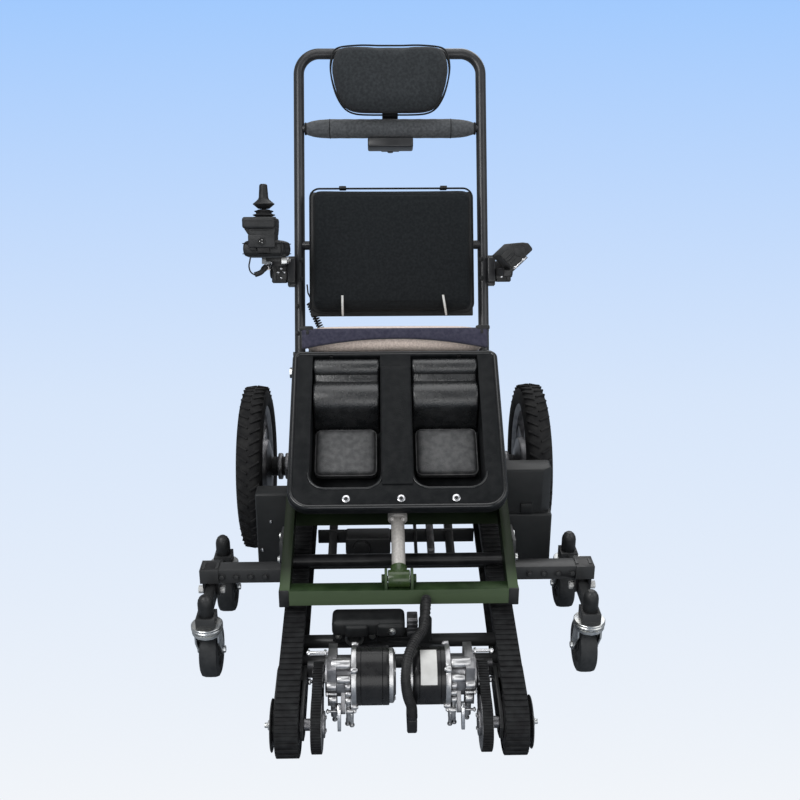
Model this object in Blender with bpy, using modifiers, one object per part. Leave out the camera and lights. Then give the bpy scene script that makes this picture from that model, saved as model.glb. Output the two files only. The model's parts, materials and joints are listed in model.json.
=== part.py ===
"""Stair climbing wheelchair with crawler tracks, driven rear wheels, bogie casters, a tilting seat,
a moulded leg tray, a reclining back with headrest, flip-up armrests and a joystick.

Metres, +Z up. The chair faces -Y, and "ahead" is the distance in front of the rear wheels' axle.
"""

import math

import bmesh
import bpy
from mathutils import Matrix, Vector

# Running clearances between neighbouring pieces
GAP = 0.0003
RUN = 0.001
ARC_STEPS = 3

# Rear wheels
WHEEL_R = 0.185
TYRE_W = 0.056
TYRE_H = 0.050
WHEEL_X = 0.310
HUB_R = 0.062
HUB_W = 0.066
SPOKES = 5
SPOKE_W = 0.026
RIM_H = 0.009
WHEEL_SIDES = 24
AXLE_R = 0.012

# Crawler tracks
TRACK_X = 0.186
BELT_W = 0.039
DRUM_R = 0.0417
BELT_T = 0.008
RIB_H = 0.0023
RIB_PITCH = 0.075
FRONT_DRUM = (0.736, 0.0522)
REAR_DRUM = (0.053, 0.205)
DRUM_AXLE_R = 0.010
BLIND_DEPTH = 0.0028
DRUM_SIDES = 24
RAIL_W = 0.024
RAIL_H = 0.046
FORK_REACH = 0.097
FORK_R = 0.026
FORK_BLOCK_AT = 0.078
FORK_BLOCK_L = 0.032
FORK_BLOCK_H = 0.036
PULLEY_R = 0.045
PULLEY_W = 0.018
PULLEY_TEETH = 10
CROSS_TUBE_R = 0.012

# Drive motors
MOTOR_AT = (0.668, 0.098)
MOTOR_R = 0.049
MOTOR_L = 0.075
MOTOR_GAP = 0.008
GEARBOX_L = 0.043
GEARBOX_R = 0.034

# Front and side frames
BAR_W = 0.028
BAR_H = 0.029
BAR_TOP = 0.197
BAR_FRONT = 0.560
FRAME_X = 0.2113
ARM_W = 0.018
ARM_H = 0.030
ARM_SLOPE = math.radians(24.2)
CROSS_AHEAD = 0.345
PLATE_T = 0.006
PLATE_REAR = 0.062

# Caster beam and bogies
BEAM_HALF = 0.366
BEAM_AHEAD = 0.4345
BEAM_D = 0.031
BEAM_H = 0.027
BEAM_Z = 0.1635
BOGIE_INSET = 0.015
BOGIE_X = BEAM_HALF - BOGIE_INSET
BOGIE_PIVOT_Z = 0.128
BOGIE_REACH = 0.110
BOGIE_W = 0.018
BOGIE_H = 0.026
CASTER_R = 0.050
CASTER_W = 0.034
CASTER_TRAIL = 0.028
CROWN_R = 0.026

# Seat, tilted back about its pivot
SEAT_TILT = math.radians(20.0)
RECLINE_AT = (-0.165, 0.400)
SEAT_W = 0.380
SEAT_L = 0.366
SEAT_T = 0.050
SEAT_RAIL = 0.024
SEAT_BASE_W = -0.009
SEAT_PIVOT_AT = (0.022, 0.418)

# Leg tray, hinged under the front of the seat
TRAY_SLOPE = math.radians(37.9)
TRAY_HINGE_BEYOND = 0.0188
TRAY_HINGE_UNDER = 0.0166
TRAY_HINGE_R = 0.0040
TRAY_EAR_X = 0.1235
TRAY_EAR_T = 0.006
TRAY_EAR_R = 0.008
TRAY_W = 0.404
TRAY_L = 0.341
TRAY_D = 0.085
TRAY_RIM = 0.022
TRAY_FACE = 0.011
WELL_IN = 0.030
WELL_OUT = 0.162
LEG_BEAM_D = 0.016
LEG_BEAM_END = 0.318

# Back
BACK_LEAN = math.radians(22.85)
BACK_W = 0.460
BACK_H = 0.732
TUBE_R = 0.0125
TUBE_BEND_R = 0.050
BACK_CROSS_V = 0.258
CUSHION_W = 0.382
CUSHION_LOW = 0.090
CUSHION_HIGH = 0.384
CUSHION_T = 0.052
BOARD_T = 0.008
BOLSTER_V = 0.538
BOLSTER_R = 0.023
BOLSTER_END_R = 0.013
UPPER_TUBE_R = 0.009
STEM_R = 0.007
STEM_BEHIND = 0.035
STEM_DROP = 0.047
STEM_RISE = 0.075
CLAMP_RISE = 0.032
STEM_LINK_W = 0.038
STEM_LINK_H = 0.024
HEAD_PLATE_W = 0.090
HEAD_PLATE_H = 0.080
HEAD_W = 0.284
HEAD_LOW = 0.558
HEAD_HIGH = 0.720
HEAD_T = 0.056
HEAD_AHEAD = 0.052

# Armrests and controller
ARM_PIVOT_AHEAD = 0.014
ARM_PIVOT_V = 0.200
ARM_TILT = math.radians(10.3)
ARM_BOSS_R = 0.0085
ARM_STUB_R = 0.006
ARM_IN = 0.246
HOUSING_V = (0.160, 0.231)
KNUCKLE_W = 0.036
KNUCKLE_UP = (-0.033, 0.016)
KNUCKLE_AHEAD = (-0.026, 0.0085)
ARM_BAR_W = 0.020
ARM_BAR_L = 0.150
LEFT_BAR_UP = (0.0060, 0.0277)
RIGHT_BAR_UP = (-0.018, -0.0016)
PAD_START = 0.047
PAD_END = 0.212
LEFT_PAD_AT = (0.2772, 0.046)
LEFT_PAD_SIZE = (0.0915, 0.036)
RIGHT_PAD_AT = (0.2675, 0.0353)
RIGHT_PAD_SIZE = (0.0635, 0.040)
RIGHT_ROLL = math.radians(43.0)
SHELF_T = 0.010
SHELF_W = 0.047
SHELF_L = 0.100
CONTROLLER_X = 0.285
CONTROLLER_W = 0.070
CONTROLLER_L = 0.105
CONTROLLER_H = 0.0245
CONTROLLER_END = 0.230
NECK_X = 0.280
NECK_W = 0.058
NECK_H = 0.0238
APRON_T = 0.0095
APRON_DROP = 0.0170
STICK_X = 0.2765
STICK_AHEAD = 0.192
BOOT_R = 0.021
STICK_R = 0.004
SKIRT_R = 0.0235
KNOB_R = 0.0086
LEAD_R = 0.0016

# Tilt actuator
ROD_PIVOT_AT = (0.545, 0.212)
HOUSING_PIVOT_DOWN = 0.3110
HOUSING_PIVOT_UNDER = 0.0532
ROD_R = 0.0123
HOUSING_R = 0.018
EYE_CLEARANCE = 0.0019
PIN_R = 0.005

# Boxes beside the tracks
BOX_AHEAD = 0.198
BOX_D = 0.057
BOX_LOW = 0.073
BOX_SEAM = 0.187
BOX_HIGH = 0.285
BOX_OUT = 0.322
SIDE_BOX_OUT = 0.288
SIDE_BOX_HIGH = 0.232

# Curly cord
CORD_R = 0.0018
CURL_R = 0.0067
CURL_PITCH = 0.0059
CURL_POINTS = 8



def from_frame(at, origin, lean):
    """A leaned frame's (ahead, up) point as a ground-frame (ahead, z) point."""
    return (origin[0] + at[0] * math.cos(lean) - at[1] * math.sin(lean),
            origin[1] + at[0] * math.sin(lean) + at[1] * math.cos(lean))


# The tray's hinge rides on the seat's front end, and the strut's upper eye under the tray
TRAY_HINGE_AT = from_frame((SEAT_L + TRAY_HINGE_BEYOND, -TRAY_HINGE_UNDER), RECLINE_AT, SEAT_TILT)
HOUSING_PIVOT_AT = from_frame((HOUSING_PIVOT_DOWN, -HOUSING_PIVOT_UNDER), TRAY_HINGE_AT, -TRAY_SLOPE)

BELT_R = DRUM_R + BELT_T + GAP
REAR_REACH = -RECLINE_AT[0] + BACK_H * math.sin(BACK_LEAN) + TUBE_R * (1 - math.sin(BACK_LEAN))
FRONT_REACH = FRONT_DRUM[0] + BELT_R + RIB_H
AXLE_Y = (FRONT_REACH - REAR_REACH) / 2

for old in list(bpy.data.objects):
    bpy.data.objects.remove(old, do_unlink=True)

SCENE = bpy.context.scene
CHAIR = bpy.data.collections.new("stair_climbing_wheelchair")
SCENE.collection.children.link(CHAIR)
CUTTERS = bpy.data.collections.new("cutters")
SCENE.collection.children.link(CUTTERS)


def finish(name, colour, roughness, metallic=0.0):
    """A plain Principled material."""
    material = bpy.data.materials.new(name)
    material.use_nodes = True
    shader = material.node_tree.nodes["Principled BSDF"]
    shader.inputs["Base Color"].default_value = (*colour, 1.0)
    shader.inputs["Roughness"].default_value = roughness
    shader.inputs["Metallic"].default_value = metallic
    return material


GREEN = finish("olive_paint", (0.048, 0.085, 0.040), 0.45)
BLACK = finish("black_paint", (0.018, 0.018, 0.020), 0.4)
TUBE = finish("back_tube_paint", (0.045, 0.047, 0.050), 0.35)
RUBBER = finish("tyre_rubber", (0.022, 0.022, 0.023), 0.8)
BELT = finish("belt_rubber", (0.012, 0.012, 0.013), 0.7)
ALLOY = finish("cast_alloy", (0.60, 0.60, 0.61), 0.4, 1.0)
STEEL = finish("bright_steel", (0.72, 0.72, 0.74), 0.25, 1.0)
VINYL = finish("black_vinyl", (0.022, 0.022, 0.024), 0.45)
FABRIC = finish("charcoal_fabric", (0.035, 0.037, 0.040), 0.9)
SEAT_CLOTH = finish("seat_cloth", (0.30, 0.26, 0.24), 0.95)
PLASTIC = finish("black_plastic", (0.025, 0.025, 0.028), 0.5)


def empty(name, ahead, z, lean=0.0, parent=None):
    """A frame whose -Y points ahead and +Z up, leaned back about X."""
    frame = bpy.data.objects.new(name, None)
    CHAIR.objects.link(frame)
    frame.empty_display_size = 0.05
    frame.location = (0, -ahead, z)
    frame.rotation_euler = (-lean, 0, 0)
    frame.parent = parent
    return frame


def from_bmesh(name, bm):
    mesh = bpy.data.meshes.new(name)
    bm.to_mesh(mesh)
    bm.free()
    thing = bpy.data.objects.new(name, mesh)
    CUTTERS.objects.link(thing)
    return thing


def box(x, ahead, z, bevel=0.0):
    """A box between pairs of limits, with its upright or long edges rounded when asked."""
    bm = bmesh.new()
    bmesh.ops.create_cube(bm, size=1.0)
    size = (x[1] - x[0], ahead[1] - ahead[0], z[1] - z[0])
    middle = ((x[0] + x[1]) / 2, -(ahead[0] + ahead[1]) / 2, (z[0] + z[1]) / 2)
    bmesh.ops.scale(bm, vec=size, verts=bm.verts)
    bmesh.ops.translate(bm, vec=middle, verts=bm.verts)
    if bevel:
        bmesh.ops.bevel(bm, geom=bm.edges[:], offset=bevel, segments=1, affect="EDGES", profile=0.5)
    return from_bmesh("box", bm)


def rod(start, end, radius, sides=12, end_radius=None):
    """A cylinder or cone between two (x, ahead, z) points."""
    a = Vector((start[0], -start[1], start[2]))
    b = Vector((end[0], -end[1], end[2]))
    bm = bmesh.new()
    bmesh.ops.create_cone(
        bm,
        cap_ends=True,
        segments=sides,
        radius1=radius,
        radius2=radius if end_radius is None else end_radius,
        depth=(b - a).length,
    )
    turn = Vector((0, 0, 1)).rotation_difference(b - a).to_matrix().to_4x4()
    bmesh.ops.transform(bm, matrix=Matrix.Translation((a + b) / 2) @ turn, verts=bm.verts)
    return from_bmesh("rod", bm)


def across(x, at, radius, sides=12):
    """A cylinder along X at (ahead, z)."""
    return rod((x[0], *at), (x[1], *at), radius, sides)


def plate(x, outline):
    """A side outline of (ahead, z) points, extruded between two X limits."""
    bm = bmesh.new()
    ring = [bm.verts.new((x[0], -ahead, z)) for ahead, z in outline]
    face = bm.faces.new(ring)
    moved = bmesh.ops.extrude_face_region(bm, geom=[face])["geom"]
    shift = [v for v in moved if isinstance(v, bmesh.types.BMVert)]
    bmesh.ops.translate(bm, vec=(x[1] - x[0], 0, 0), verts=shift)
    bmesh.ops.recalc_face_normals(bm, faces=bm.faces)
    return from_bmesh("plate", bm)


def turned(profile, x, at, steps=24):
    """A closed (radius, offset along X) profile turned about the X line at (ahead, z)."""
    bm = bmesh.new()
    rings = []
    for step in range(steps):
        angle = 2 * math.pi * step / steps
        rings.append([
            bm.verts.new((x + along, -at[0] + r * math.cos(angle), at[1] + r * math.sin(angle)))
            for r, along in profile
        ])
    count = len(profile)
    for step in range(steps):
        here = rings[step]
        after = rings[(step + 1) % steps]
        for i in range(count):
            j = (i + 1) % count
            bm.faces.new((here[i], here[j], after[j], after[i]))
    bmesh.ops.recalc_face_normals(bm, faces=bm.faces)
    return from_bmesh("turned", bm)


def wire(points, radius, resolution=2):
    """A round tube along (x, ahead, z) points, as a mesh with welded caps."""
    curve = bpy.data.curves.new("wire", "CURVE")
    curve.dimensions = "3D"
    curve.bevel_depth = radius
    curve.bevel_resolution = resolution
    curve.use_fill_caps = True
    spline = curve.splines.new("POLY")
    spline.points.add(len(points) - 1)
    for spot, (x, ahead, z) in zip(spline.points, points):
        spot.co = (x, -ahead, z, 1)
    guide = bpy.data.objects.new("wire", curve)
    CUTTERS.objects.link(guide)
    bpy.context.view_layer.update()
    graph = bpy.context.evaluated_depsgraph_get()
    mesh = bpy.data.meshes.new_from_object(guide.evaluated_get(graph))
    bm = bmesh.new()
    bm.from_mesh(mesh)
    bmesh.ops.remove_doubles(bm, verts=bm.verts, dist=1e-5)
    bpy.data.objects.remove(guide, do_unlink=True)
    return from_bmesh("wire", bm)


def baked(thing):
    """The object with its modifiers applied to its mesh."""
    bpy.context.view_layer.update()
    graph = bpy.context.evaluated_depsgraph_get()
    mesh = bpy.data.meshes.new_from_object(thing.evaluated_get(graph))
    thing.modifiers.clear()
    thing.data = mesh
    return thing


def combine(base, others, operation):
    for other in others:
        modifier = base.modifiers.new(operation.lower(), "BOOLEAN")
        modifier.operation = operation
        modifier.object = other
        baked(base)
        bpy.data.objects.remove(other, do_unlink=True)
    return base


def joined(base, *others):
    return combine(base, others, "UNION")


def cut(base, *others):
    return combine(base, others, "DIFFERENCE")


def part(name, thing, material, parent, smooth=True):
    """Names a finished solid, gives it its material and hangs it on its frame."""
    thing.name = name
    thing.data.name = name
    CUTTERS.objects.unlink(thing)
    CHAIR.objects.link(thing)
    thing.parent = parent
    thing.data.materials.clear()
    thing.data.materials.append(material)
    if smooth:
        thing.data.shade_smooth()
        thing.data.set_sharp_from_angle(angle=math.radians(35))
    return thing


def moved_origin(thing, at):
    """Moves the object's origin to a local (x, ahead, z) point, with the shape left in place."""
    spot = Vector((at[0], -at[1], at[2]))
    thing.data.transform(Matrix.Translation(-spot))
    thing.location = spot
    return thing


def rounded(x, ahead, z, crown, corner, dip=0.0, face=1):
    """A cushion: a coarse box cage, smoothed by subdivision, crowned on one face, with drawn-in sides."""
    bm = bmesh.new()
    bmesh.ops.create_cube(bm, size=2.0)
    bmesh.ops.subdivide_edges(bm, edges=bm.edges[:], cuts=2, use_grid_fill=True)
    half = ((x[1] - x[0]) / 2, (ahead[1] - ahead[0]) / 2, (z[1] - z[0]) / 2)
    middle = Vector(((x[0] + x[1]) / 2, -(ahead[0] + ahead[1]) / 2, (z[0] + z[1]) / 2))
    thin = min(range(3), key=lambda i: half[i])
    for v in bm.verts:
        for i in range(3):
            step = 1 - corner / half[i] if i != thin else 0.62
            if abs(abs(v.co[i]) - 1 / 3) < 1e-4:
                v.co[i] = math.copysign(step, v.co[i])
    for v in bm.verts:
        inner = [abs(v.co[i]) < 0.99 for i in range(3) if i != thin]
        if v.co[thin] * face > 0.99 and all(inner):
            v.co[thin] *= 1 + crown / half[thin]
        elif abs(v.co[thin]) < 0.99 and dip:
            for i in range(3):
                if i != thin and abs(v.co[i]) > 0.99:
                    v.co[i] *= 1 - dip / half[i]
    for v in bm.verts:
        v.co = Vector([v.co[i] * half[i] for i in range(3)]) + middle
    thing = from_bmesh("cushion", bm)
    smooth = thing.modifiers.new("smooth", "SUBSURF")
    smooth.levels = 1
    smooth.render_levels = 1
    return baked(thing)


GROUND = empty("axle_line", -AXLE_Y, 0.0)
SIDES = {"left": -1, "right": 1}


def span(side, inner, outer):
    """X limits between two distances from the middle, on one side."""
    return tuple(sorted((side * inner, side * outer)))


def spun(thing, angle, at):
    """Turns a solid's mesh about the X line at (ahead, z)."""
    spot = Vector((0, -at[0], at[1]))
    turn = Matrix.Translation(spot) @ Matrix.Rotation(angle, 4, "X") @ Matrix.Translation(-spot)
    thing.data.transform(turn)
    return thing


def round_end(at, radius, start, stop, steps=ARC_STEPS):
    """Arc points in the side view, angles measured from ahead towards up."""
    points = []
    for i in range(steps + 1):
        angle = start + (stop - start) * i / steps
        points.append((at[0] + radius * math.cos(angle), at[1] + radius * math.sin(angle)))
    return points


def capsule(a, b, radius_a, radius_b):
    """Side outline round two (ahead, z) points."""
    heading = math.atan2(b[1] - a[1], b[0] - a[0])
    return (round_end(a, radius_a, heading + math.pi / 2, heading + 3 * math.pi / 2)
            + round_end(b, radius_b, heading - math.pi / 2, heading + math.pi / 2))


def tyre_profile(radius, height, width, steps=4):
    """Closed section of a tyre: a domed tread that narrows to its beads."""
    points = []
    for i in range(steps + 1):
        angle = math.pi * i / steps
        along = -width / 2 * math.cos(angle)
        rise = height * (0.22 + 0.78 * math.sin(angle) ** 0.6)
        points.append((radius - height + rise, along))
    inner = radius - height
    return [(inner, -width * 0.34)] + points + [(inner, width * 0.34)]


def rear_wheel(name, side):
    centre = (0.0, WHEEL_R)
    x = side * WHEEL_X
    tyre = turned(tyre_profile(WHEEL_R, TYRE_H, TYRE_W), x, centre, WHEEL_SIDES)
    part(f"rear_tyre_{name}", tyre, RUBBER, GROUND)
    moved_origin(tyre, (x, *centre))
    rim_out = WHEEL_R - TYRE_H - GAP
    half = TYRE_W * 0.34
    rim = turned([(rim_out, -half), (rim_out, half), (rim_out - RIM_H, half * 0.8),
                  (rim_out - RIM_H, -half * 0.8)], x, centre, WHEEL_SIDES)
    hub = across((x - HUB_W / 2, x + HUB_W / 2), centre, HUB_R, 16)
    cap = across(span(side, WHEEL_X + HUB_W / 2 - 0.002, WHEEL_X + HUB_W / 2 + 0.006), centre,
                 HUB_R * 0.45, 12)
    arms = []
    for i in range(SPOKES):
        arm = box((x - 0.011, x + 0.011), (-SPOKE_W / 2, SPOKE_W / 2),
                  (WHEEL_R + HUB_R - 0.01, WHEEL_R + rim_out - RIM_H * 0.5))
        arms.append(spun(arm, 2 * math.pi * i / SPOKES, centre))
    bore = across(span(side, WHEEL_X - HUB_W, WHEEL_X + 0.012), centre, AXLE_R + GAP, 16)
    hub = cut(joined(rim, hub, cap, *arms), bore)
    part(f"rear_hub_{name}", hub, ALLOY, GROUND)
    moved_origin(hub, (x, *centre))


for side_name, side_sign in SIDES.items():
    rear_wheel(side_name, side_sign)

# Crawler tracks
RISE = math.atan2(REAR_DRUM[1] - FRONT_DRUM[1], FRONT_DRUM[0] - REAR_DRUM[0])
DRUM_SPAN = math.hypot(REAR_DRUM[1] - FRONT_DRUM[1], FRONT_DRUM[0] - REAR_DRUM[0])
CRAWLER = empty("crawler_pivot", REAR_DRUM[0], REAR_DRUM[1], 0.0, GROUND)


def slope_point(along, rise=0.0):
    """A point on the line from the rear drum to the front drum, in the pivot's frame."""
    return (along * math.cos(RISE) + rise * math.sin(RISE),
            -along * math.sin(RISE) + rise * math.cos(RISE))


def loop_point(distance, radius):
    """A point on the belt's path round both drums, at a distance along it."""
    half_turn = math.pi * radius
    if distance < DRUM_SPAN:
        return slope_point(distance, radius)
    distance -= DRUM_SPAN
    if distance < half_turn:
        angle = math.pi / 2 - distance / radius
        return slope_point(DRUM_SPAN + radius * math.cos(angle), radius * math.sin(angle))
    distance -= half_turn
    if distance < DRUM_SPAN:
        return slope_point(DRUM_SPAN - distance, -radius)
    distance -= DRUM_SPAN
    angle = -math.pi / 2 - distance / radius
    return slope_point(radius * math.cos(angle), radius * math.sin(angle))


def track_belt(name, side):
    length = 2 * DRUM_SPAN + 2 * math.pi * BELT_R
    ribs = round(length / RIB_PITCH)
    outline = []
    for i in range(ribs):
        for share, height in ((0.0, 0), (0.08, RIB_H), (0.5, RIB_H), (0.58, 0)):
            base = loop_point(length * (i + share) / ribs, BELT_R)
            if height:
                inward = path_centre(length * (i + share) / ribs)
                dx = base[0] - inward[0]
                dz = base[1] - inward[1]
                scale = height / math.hypot(dx, dz)
                base = (base[0] + dx * scale, base[1] + dz * scale)
            outline.append(base)
    inner_r = DRUM_R + 2 * GAP
    hollow = (round_end(slope_point(DRUM_SPAN), inner_r, math.pi / 2 - RISE, -math.pi / 2 - RISE,
                        DRUM_SIDES // 2)
              + round_end((0, 0), inner_r, -math.pi / 2 - RISE, -3 * math.pi / 2 - RISE, DRUM_SIDES // 2))
    x = span(side, TRACK_X - BELT_W / 2, TRACK_X + BELT_W / 2)
    belt = cut(plate(x, outline), plate((x[0] - 0.01, x[1] + 0.01), hollow))
    part(f"track_belt_{name}", belt, BELT, CRAWLER)


def path_centre(distance):
    """The nearest point on the line between the drums for a distance along the belt."""
    half_turn = math.pi * BELT_R
    if distance < DRUM_SPAN:
        return slope_point(distance)
    if distance < DRUM_SPAN + half_turn:
        return slope_point(DRUM_SPAN)
    if distance < 2 * DRUM_SPAN + half_turn:
        return slope_point(2 * DRUM_SPAN + half_turn - distance)
    return (0.0, 0.0)


def toothed(x, at, radius, teeth, depth):
    """A timing pulley: a prism with square teeth round its rim."""
    outline = []
    for i in range(teeth):
        for share, r in ((0.0, radius - depth), (0.15, radius), (0.5, radius), (0.65, radius - depth)):
            angle = 2 * math.pi * (i + share) / teeth
            outline.append((at[0] + r * math.cos(angle), at[1] + r * math.sin(angle)))
    return plate(x, outline)


RAIL_PLATE = (TRACK_X + BELT_W / 2 + GAP * 2, TRACK_X + BELT_W / 2 + GAP * 2 + 0.0048)
RAIL_INNER = (TRACK_X - BELT_W / 2 - GAP * 2 - 0.0060, TRACK_X - BELT_W / 2 - GAP * 2)
PULLEY_X = (RAIL_INNER[0] - 0.012 - PULLEY_W, RAIL_INNER[0] - 0.012)


def drum(name, side, at, shaft, pulley):
    x = span(side, TRACK_X - BELT_W / 2 + RUN, TRACK_X + BELT_W / 2 - RUN)
    body = across(x, at, DRUM_R, DRUM_SIDES)
    axle = across(span(side, *shaft), at, DRUM_AXLE_R, 16)
    solid = joined(body, axle)
    if pulley:
        solid = joined(solid, toothed(span(side, *PULLEY_X), at, PULLEY_R, PULLEY_TEETH, 0.004),
                       across(span(side, PULLEY_X[0] - 0.004, PULLEY_X[0] + 0.001), at, 0.022, 12))
    part(name, solid, ALLOY, CRAWLER)
    moved_origin(solid, (side * TRACK_X, *at))


FRONT_LOCAL = slope_point(DRUM_SPAN)
PIVOT_SHAFT_END = FRAME_X + PLATE_T + 0.002
BLIND_END = RAIL_PLATE[0] + BLIND_DEPTH
for side_name, side_sign in SIDES.items():
    track_belt(side_name, side_sign)
    drum(f"front_drum_{side_name}", side_sign, FRONT_LOCAL, (PULLEY_X[0], RAIL_PLATE[1] + 0.004), True)
    drum(f"rear_drum_{side_name}", side_sign, (0.0, 0.0), (RAIL_INNER[0] - 0.006, BLIND_END - GAP), False)


def track_rail(name, side):
    """The beam inside a belt, with forked plates that carry both drums and a stub for the crawler's pivot."""
    start = DRUM_R + 0.014
    stop = DRUM_SPAN - DRUM_R - 0.014
    corners = [slope_point(start, -RAIL_H / 2), slope_point(stop, -RAIL_H / 2),
               slope_point(stop, RAIL_H / 2), slope_point(start, RAIL_H / 2)]
    rail = plate(span(side, TRACK_X - RAIL_W / 2, TRACK_X + RAIL_W / 2), corners)
    pieces = [across(span(side, RAIL_PLATE[1] - 0.001, PIVOT_SHAFT_END), slope_point(0.0), DRUM_AXLE_R, 16)]
    holes = []
    for end, inward, hole_end in ((0.0, 1, BLIND_END), (DRUM_SPAN, -1, RAIL_PLATE[1] + 0.01)):
        for limits in (RAIL_PLATE, RAIL_INNER):
            shape = capsule(slope_point(end), slope_point(end + inward * FORK_REACH), FORK_R, RAIL_H / 2)
            pieces.append(plate(span(side, *limits), shape))
        near = end + inward * FORK_BLOCK_AT
        far = near + inward * FORK_BLOCK_L
        block = [slope_point(near, -FORK_BLOCK_H / 2), slope_point(far, -FORK_BLOCK_H / 2),
                 slope_point(far, FORK_BLOCK_H / 2), slope_point(near, FORK_BLOCK_H / 2)]
        pieces.append(plate(span(side, RAIL_INNER[0] + 0.001, RAIL_PLATE[1] - 0.001), block))
        holes.append(across(span(side, RAIL_INNER[0] - 0.01, hole_end), slope_point(end), DRUM_AXLE_R + GAP,
                            16))
    rail = cut(joined(rail, *pieces), *holes)
    part(f"track_rail_{name}", rail, BLACK, CRAWLER)


def from_ground(at):
    """A ground-frame (ahead, z) point in the crawler pivot's frame."""
    return (at[0] - REAR_DRUM[0], at[1] - REAR_DRUM[1])


for side_name, side_sign in SIDES.items():
    track_rail(side_name, side_sign)
CROSS_TUBES = {"rear": (0.352, 0.134), "middle": (0.548, 0.085), "front": (0.603, 0.080)}
CROSS_HALF = TRACK_X - RAIL_W / 2 - GAP
for tube_name, tube_at in CROSS_TUBES.items():
    tube = across((-CROSS_HALF, CROSS_HALF), from_ground(tube_at), CROSS_TUBE_R)
    part(f"cross_tube_{tube_name}", tube, BLACK, CRAWLER)

# Drive motors with gearboxes and release levers
MOTOR_LOCAL = from_ground(MOTOR_AT)
MOTOR_END = MOTOR_GAP + MOTOR_L
BOX_START = MOTOR_END + GAP
BOX_END = BOX_START + GEARBOX_L
LEVER_AT = (MOTOR_LOCAL[0] + 0.040, MOTOR_LOCAL[1] - 0.036)
EAR_X = (BOX_START + 0.010, BOX_START + 0.017)


def motor(name, side):
    can = across(span(side, MOTOR_GAP + 0.012, MOTOR_END - 0.009), MOTOR_LOCAL, MOTOR_R, 16)
    bell = across(span(side, MOTOR_GAP, MOTOR_GAP + 0.013), MOTOR_LOCAL, MOTOR_R * 0.93, 16)
    flange = across(span(side, MOTOR_END - 0.010, MOTOR_END), MOTOR_LOCAL, MOTOR_R * 1.03, 16)
    solid = joined(can, bell, flange)
    if side > 0:
        ahead = MOTOR_LOCAL[0]
        terminal = box((0.009, 0.026), (ahead + 0.020, ahead + 0.070),
                       (MOTOR_LOCAL[1] - 0.066, MOTOR_LOCAL[1] - 0.040))
        solid = joined(solid, terminal)
    part(f"motor_{name}", solid, BLACK, CRAWLER)


def gearbox(name, side):
    drum_case = across(span(side, BOX_START, BOX_END), MOTOR_LOCAL, GEARBOX_R, 16)
    square = box(span(side, BOX_START + 0.024, BOX_END - 0.004),
                 (MOTOR_LOCAL[0] - 0.039, MOTOR_LOCAL[0] + 0.037),
                 (MOTOR_LOCAL[1] - 0.033, MOTOR_LOCAL[1] + 0.038))
    foot = box(span(side, BOX_START + 0.026, RAIL_INNER[0] - GAP),
               (MOTOR_LOCAL[0] - 0.038, MOTOR_LOCAL[0] - 0.025),
               (MOTOR_LOCAL[1] - 0.022, MOTOR_LOCAL[1] + 0.004))
    ear = plate(span(side, *EAR_X), capsule(MOTOR_LOCAL, LEVER_AT, 0.018, 0.010))
    pin = across(span(side, EAR_X[0] + 0.001, EAR_X[1] + 0.009), LEVER_AT, 0.004, 12)
    shaft = across(span(side, BOX_END - 0.001, PULLEY_X[1]), MOTOR_LOCAL, 0.008, 12)
    small = toothed(span(side, *PULLEY_X), MOTOR_LOCAL, 0.021, 8, 0.003)
    solid = joined(drum_case, square, foot, ear, pin, shaft, small)
    part(f"gearbox_{name}", solid, ALLOY, CRAWLER)


def release_lever(name, side):
    x = span(side, EAR_X[1] + GAP, EAR_X[1] + 0.006)
    tip = (LEVER_AT[0] + 0.012, LEVER_AT[1] - 0.030)
    lever = plate(x, capsule(LEVER_AT, tip, 0.009, 0.006))
    lever = cut(lever, across(span(side, EAR_X[1] - 0.01, EAR_X[1] + 0.02), LEVER_AT, 0.004 + GAP, 12))
    part(f"release_lever_{name}", lever, STEEL, CRAWLER)
    moved_origin(lever, (side * EAR_X[1], *LEVER_AT))


for side_name, side_sign in SIDES.items():
    motor(side_name, side_sign)
    gearbox(side_name, side_sign)
    release_lever(side_name, side_sign)

LIFT_BLOCK_X = (-0.120, 0.060)
lift_at = from_ground(CROSS_TUBES["middle"])
lift = box(LIFT_BLOCK_X, (lift_at[0] - 0.016, lift_at[0] + 0.040),
           (lift_at[1] + CROSS_TUBE_R + GAP, lift_at[1] + CROSS_TUBE_R + 0.050), 0.005)
part("lift_drive", lift, PLASTIC, CRAWLER)

CABLE_R = 0.008
cable_start = (0.0175, MOTOR_LOCAL[0] + 0.0605, MOTOR_LOCAL[1] - 0.040 + GAP)
lift_top = lift_at[1] + CROSS_TUBE_R + 0.050
cable_end = (0.045, lift_at[0] + 0.022, lift_top + GAP)
CABLE_ROUTE = [
    cable_start,
    (0.017, MOTOR_LOCAL[0] + 0.061, MOTOR_LOCAL[1] - 0.020),
    (0.010, MOTOR_LOCAL[0] + 0.062, MOTOR_LOCAL[1] + 0.005),
    (0.007, MOTOR_LOCAL[0] + 0.056, MOTOR_LOCAL[1] + 0.034),
    (0.011, MOTOR_LOCAL[0] + 0.036, MOTOR_LOCAL[1] + 0.059),
    (0.024, MOTOR_LOCAL[0] + 0.006, MOTOR_LOCAL[1] + 0.072),
    (0.040, MOTOR_LOCAL[0] - 0.030, MOTOR_LOCAL[1] + 0.074),
    (0.047, cable_end[1] + 0.008, lift_top + 0.040),
    (0.045, cable_end[1], lift_top + 0.024),
    (0.045, cable_end[1], lift_top + 0.010),
    cable_end,
]


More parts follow.
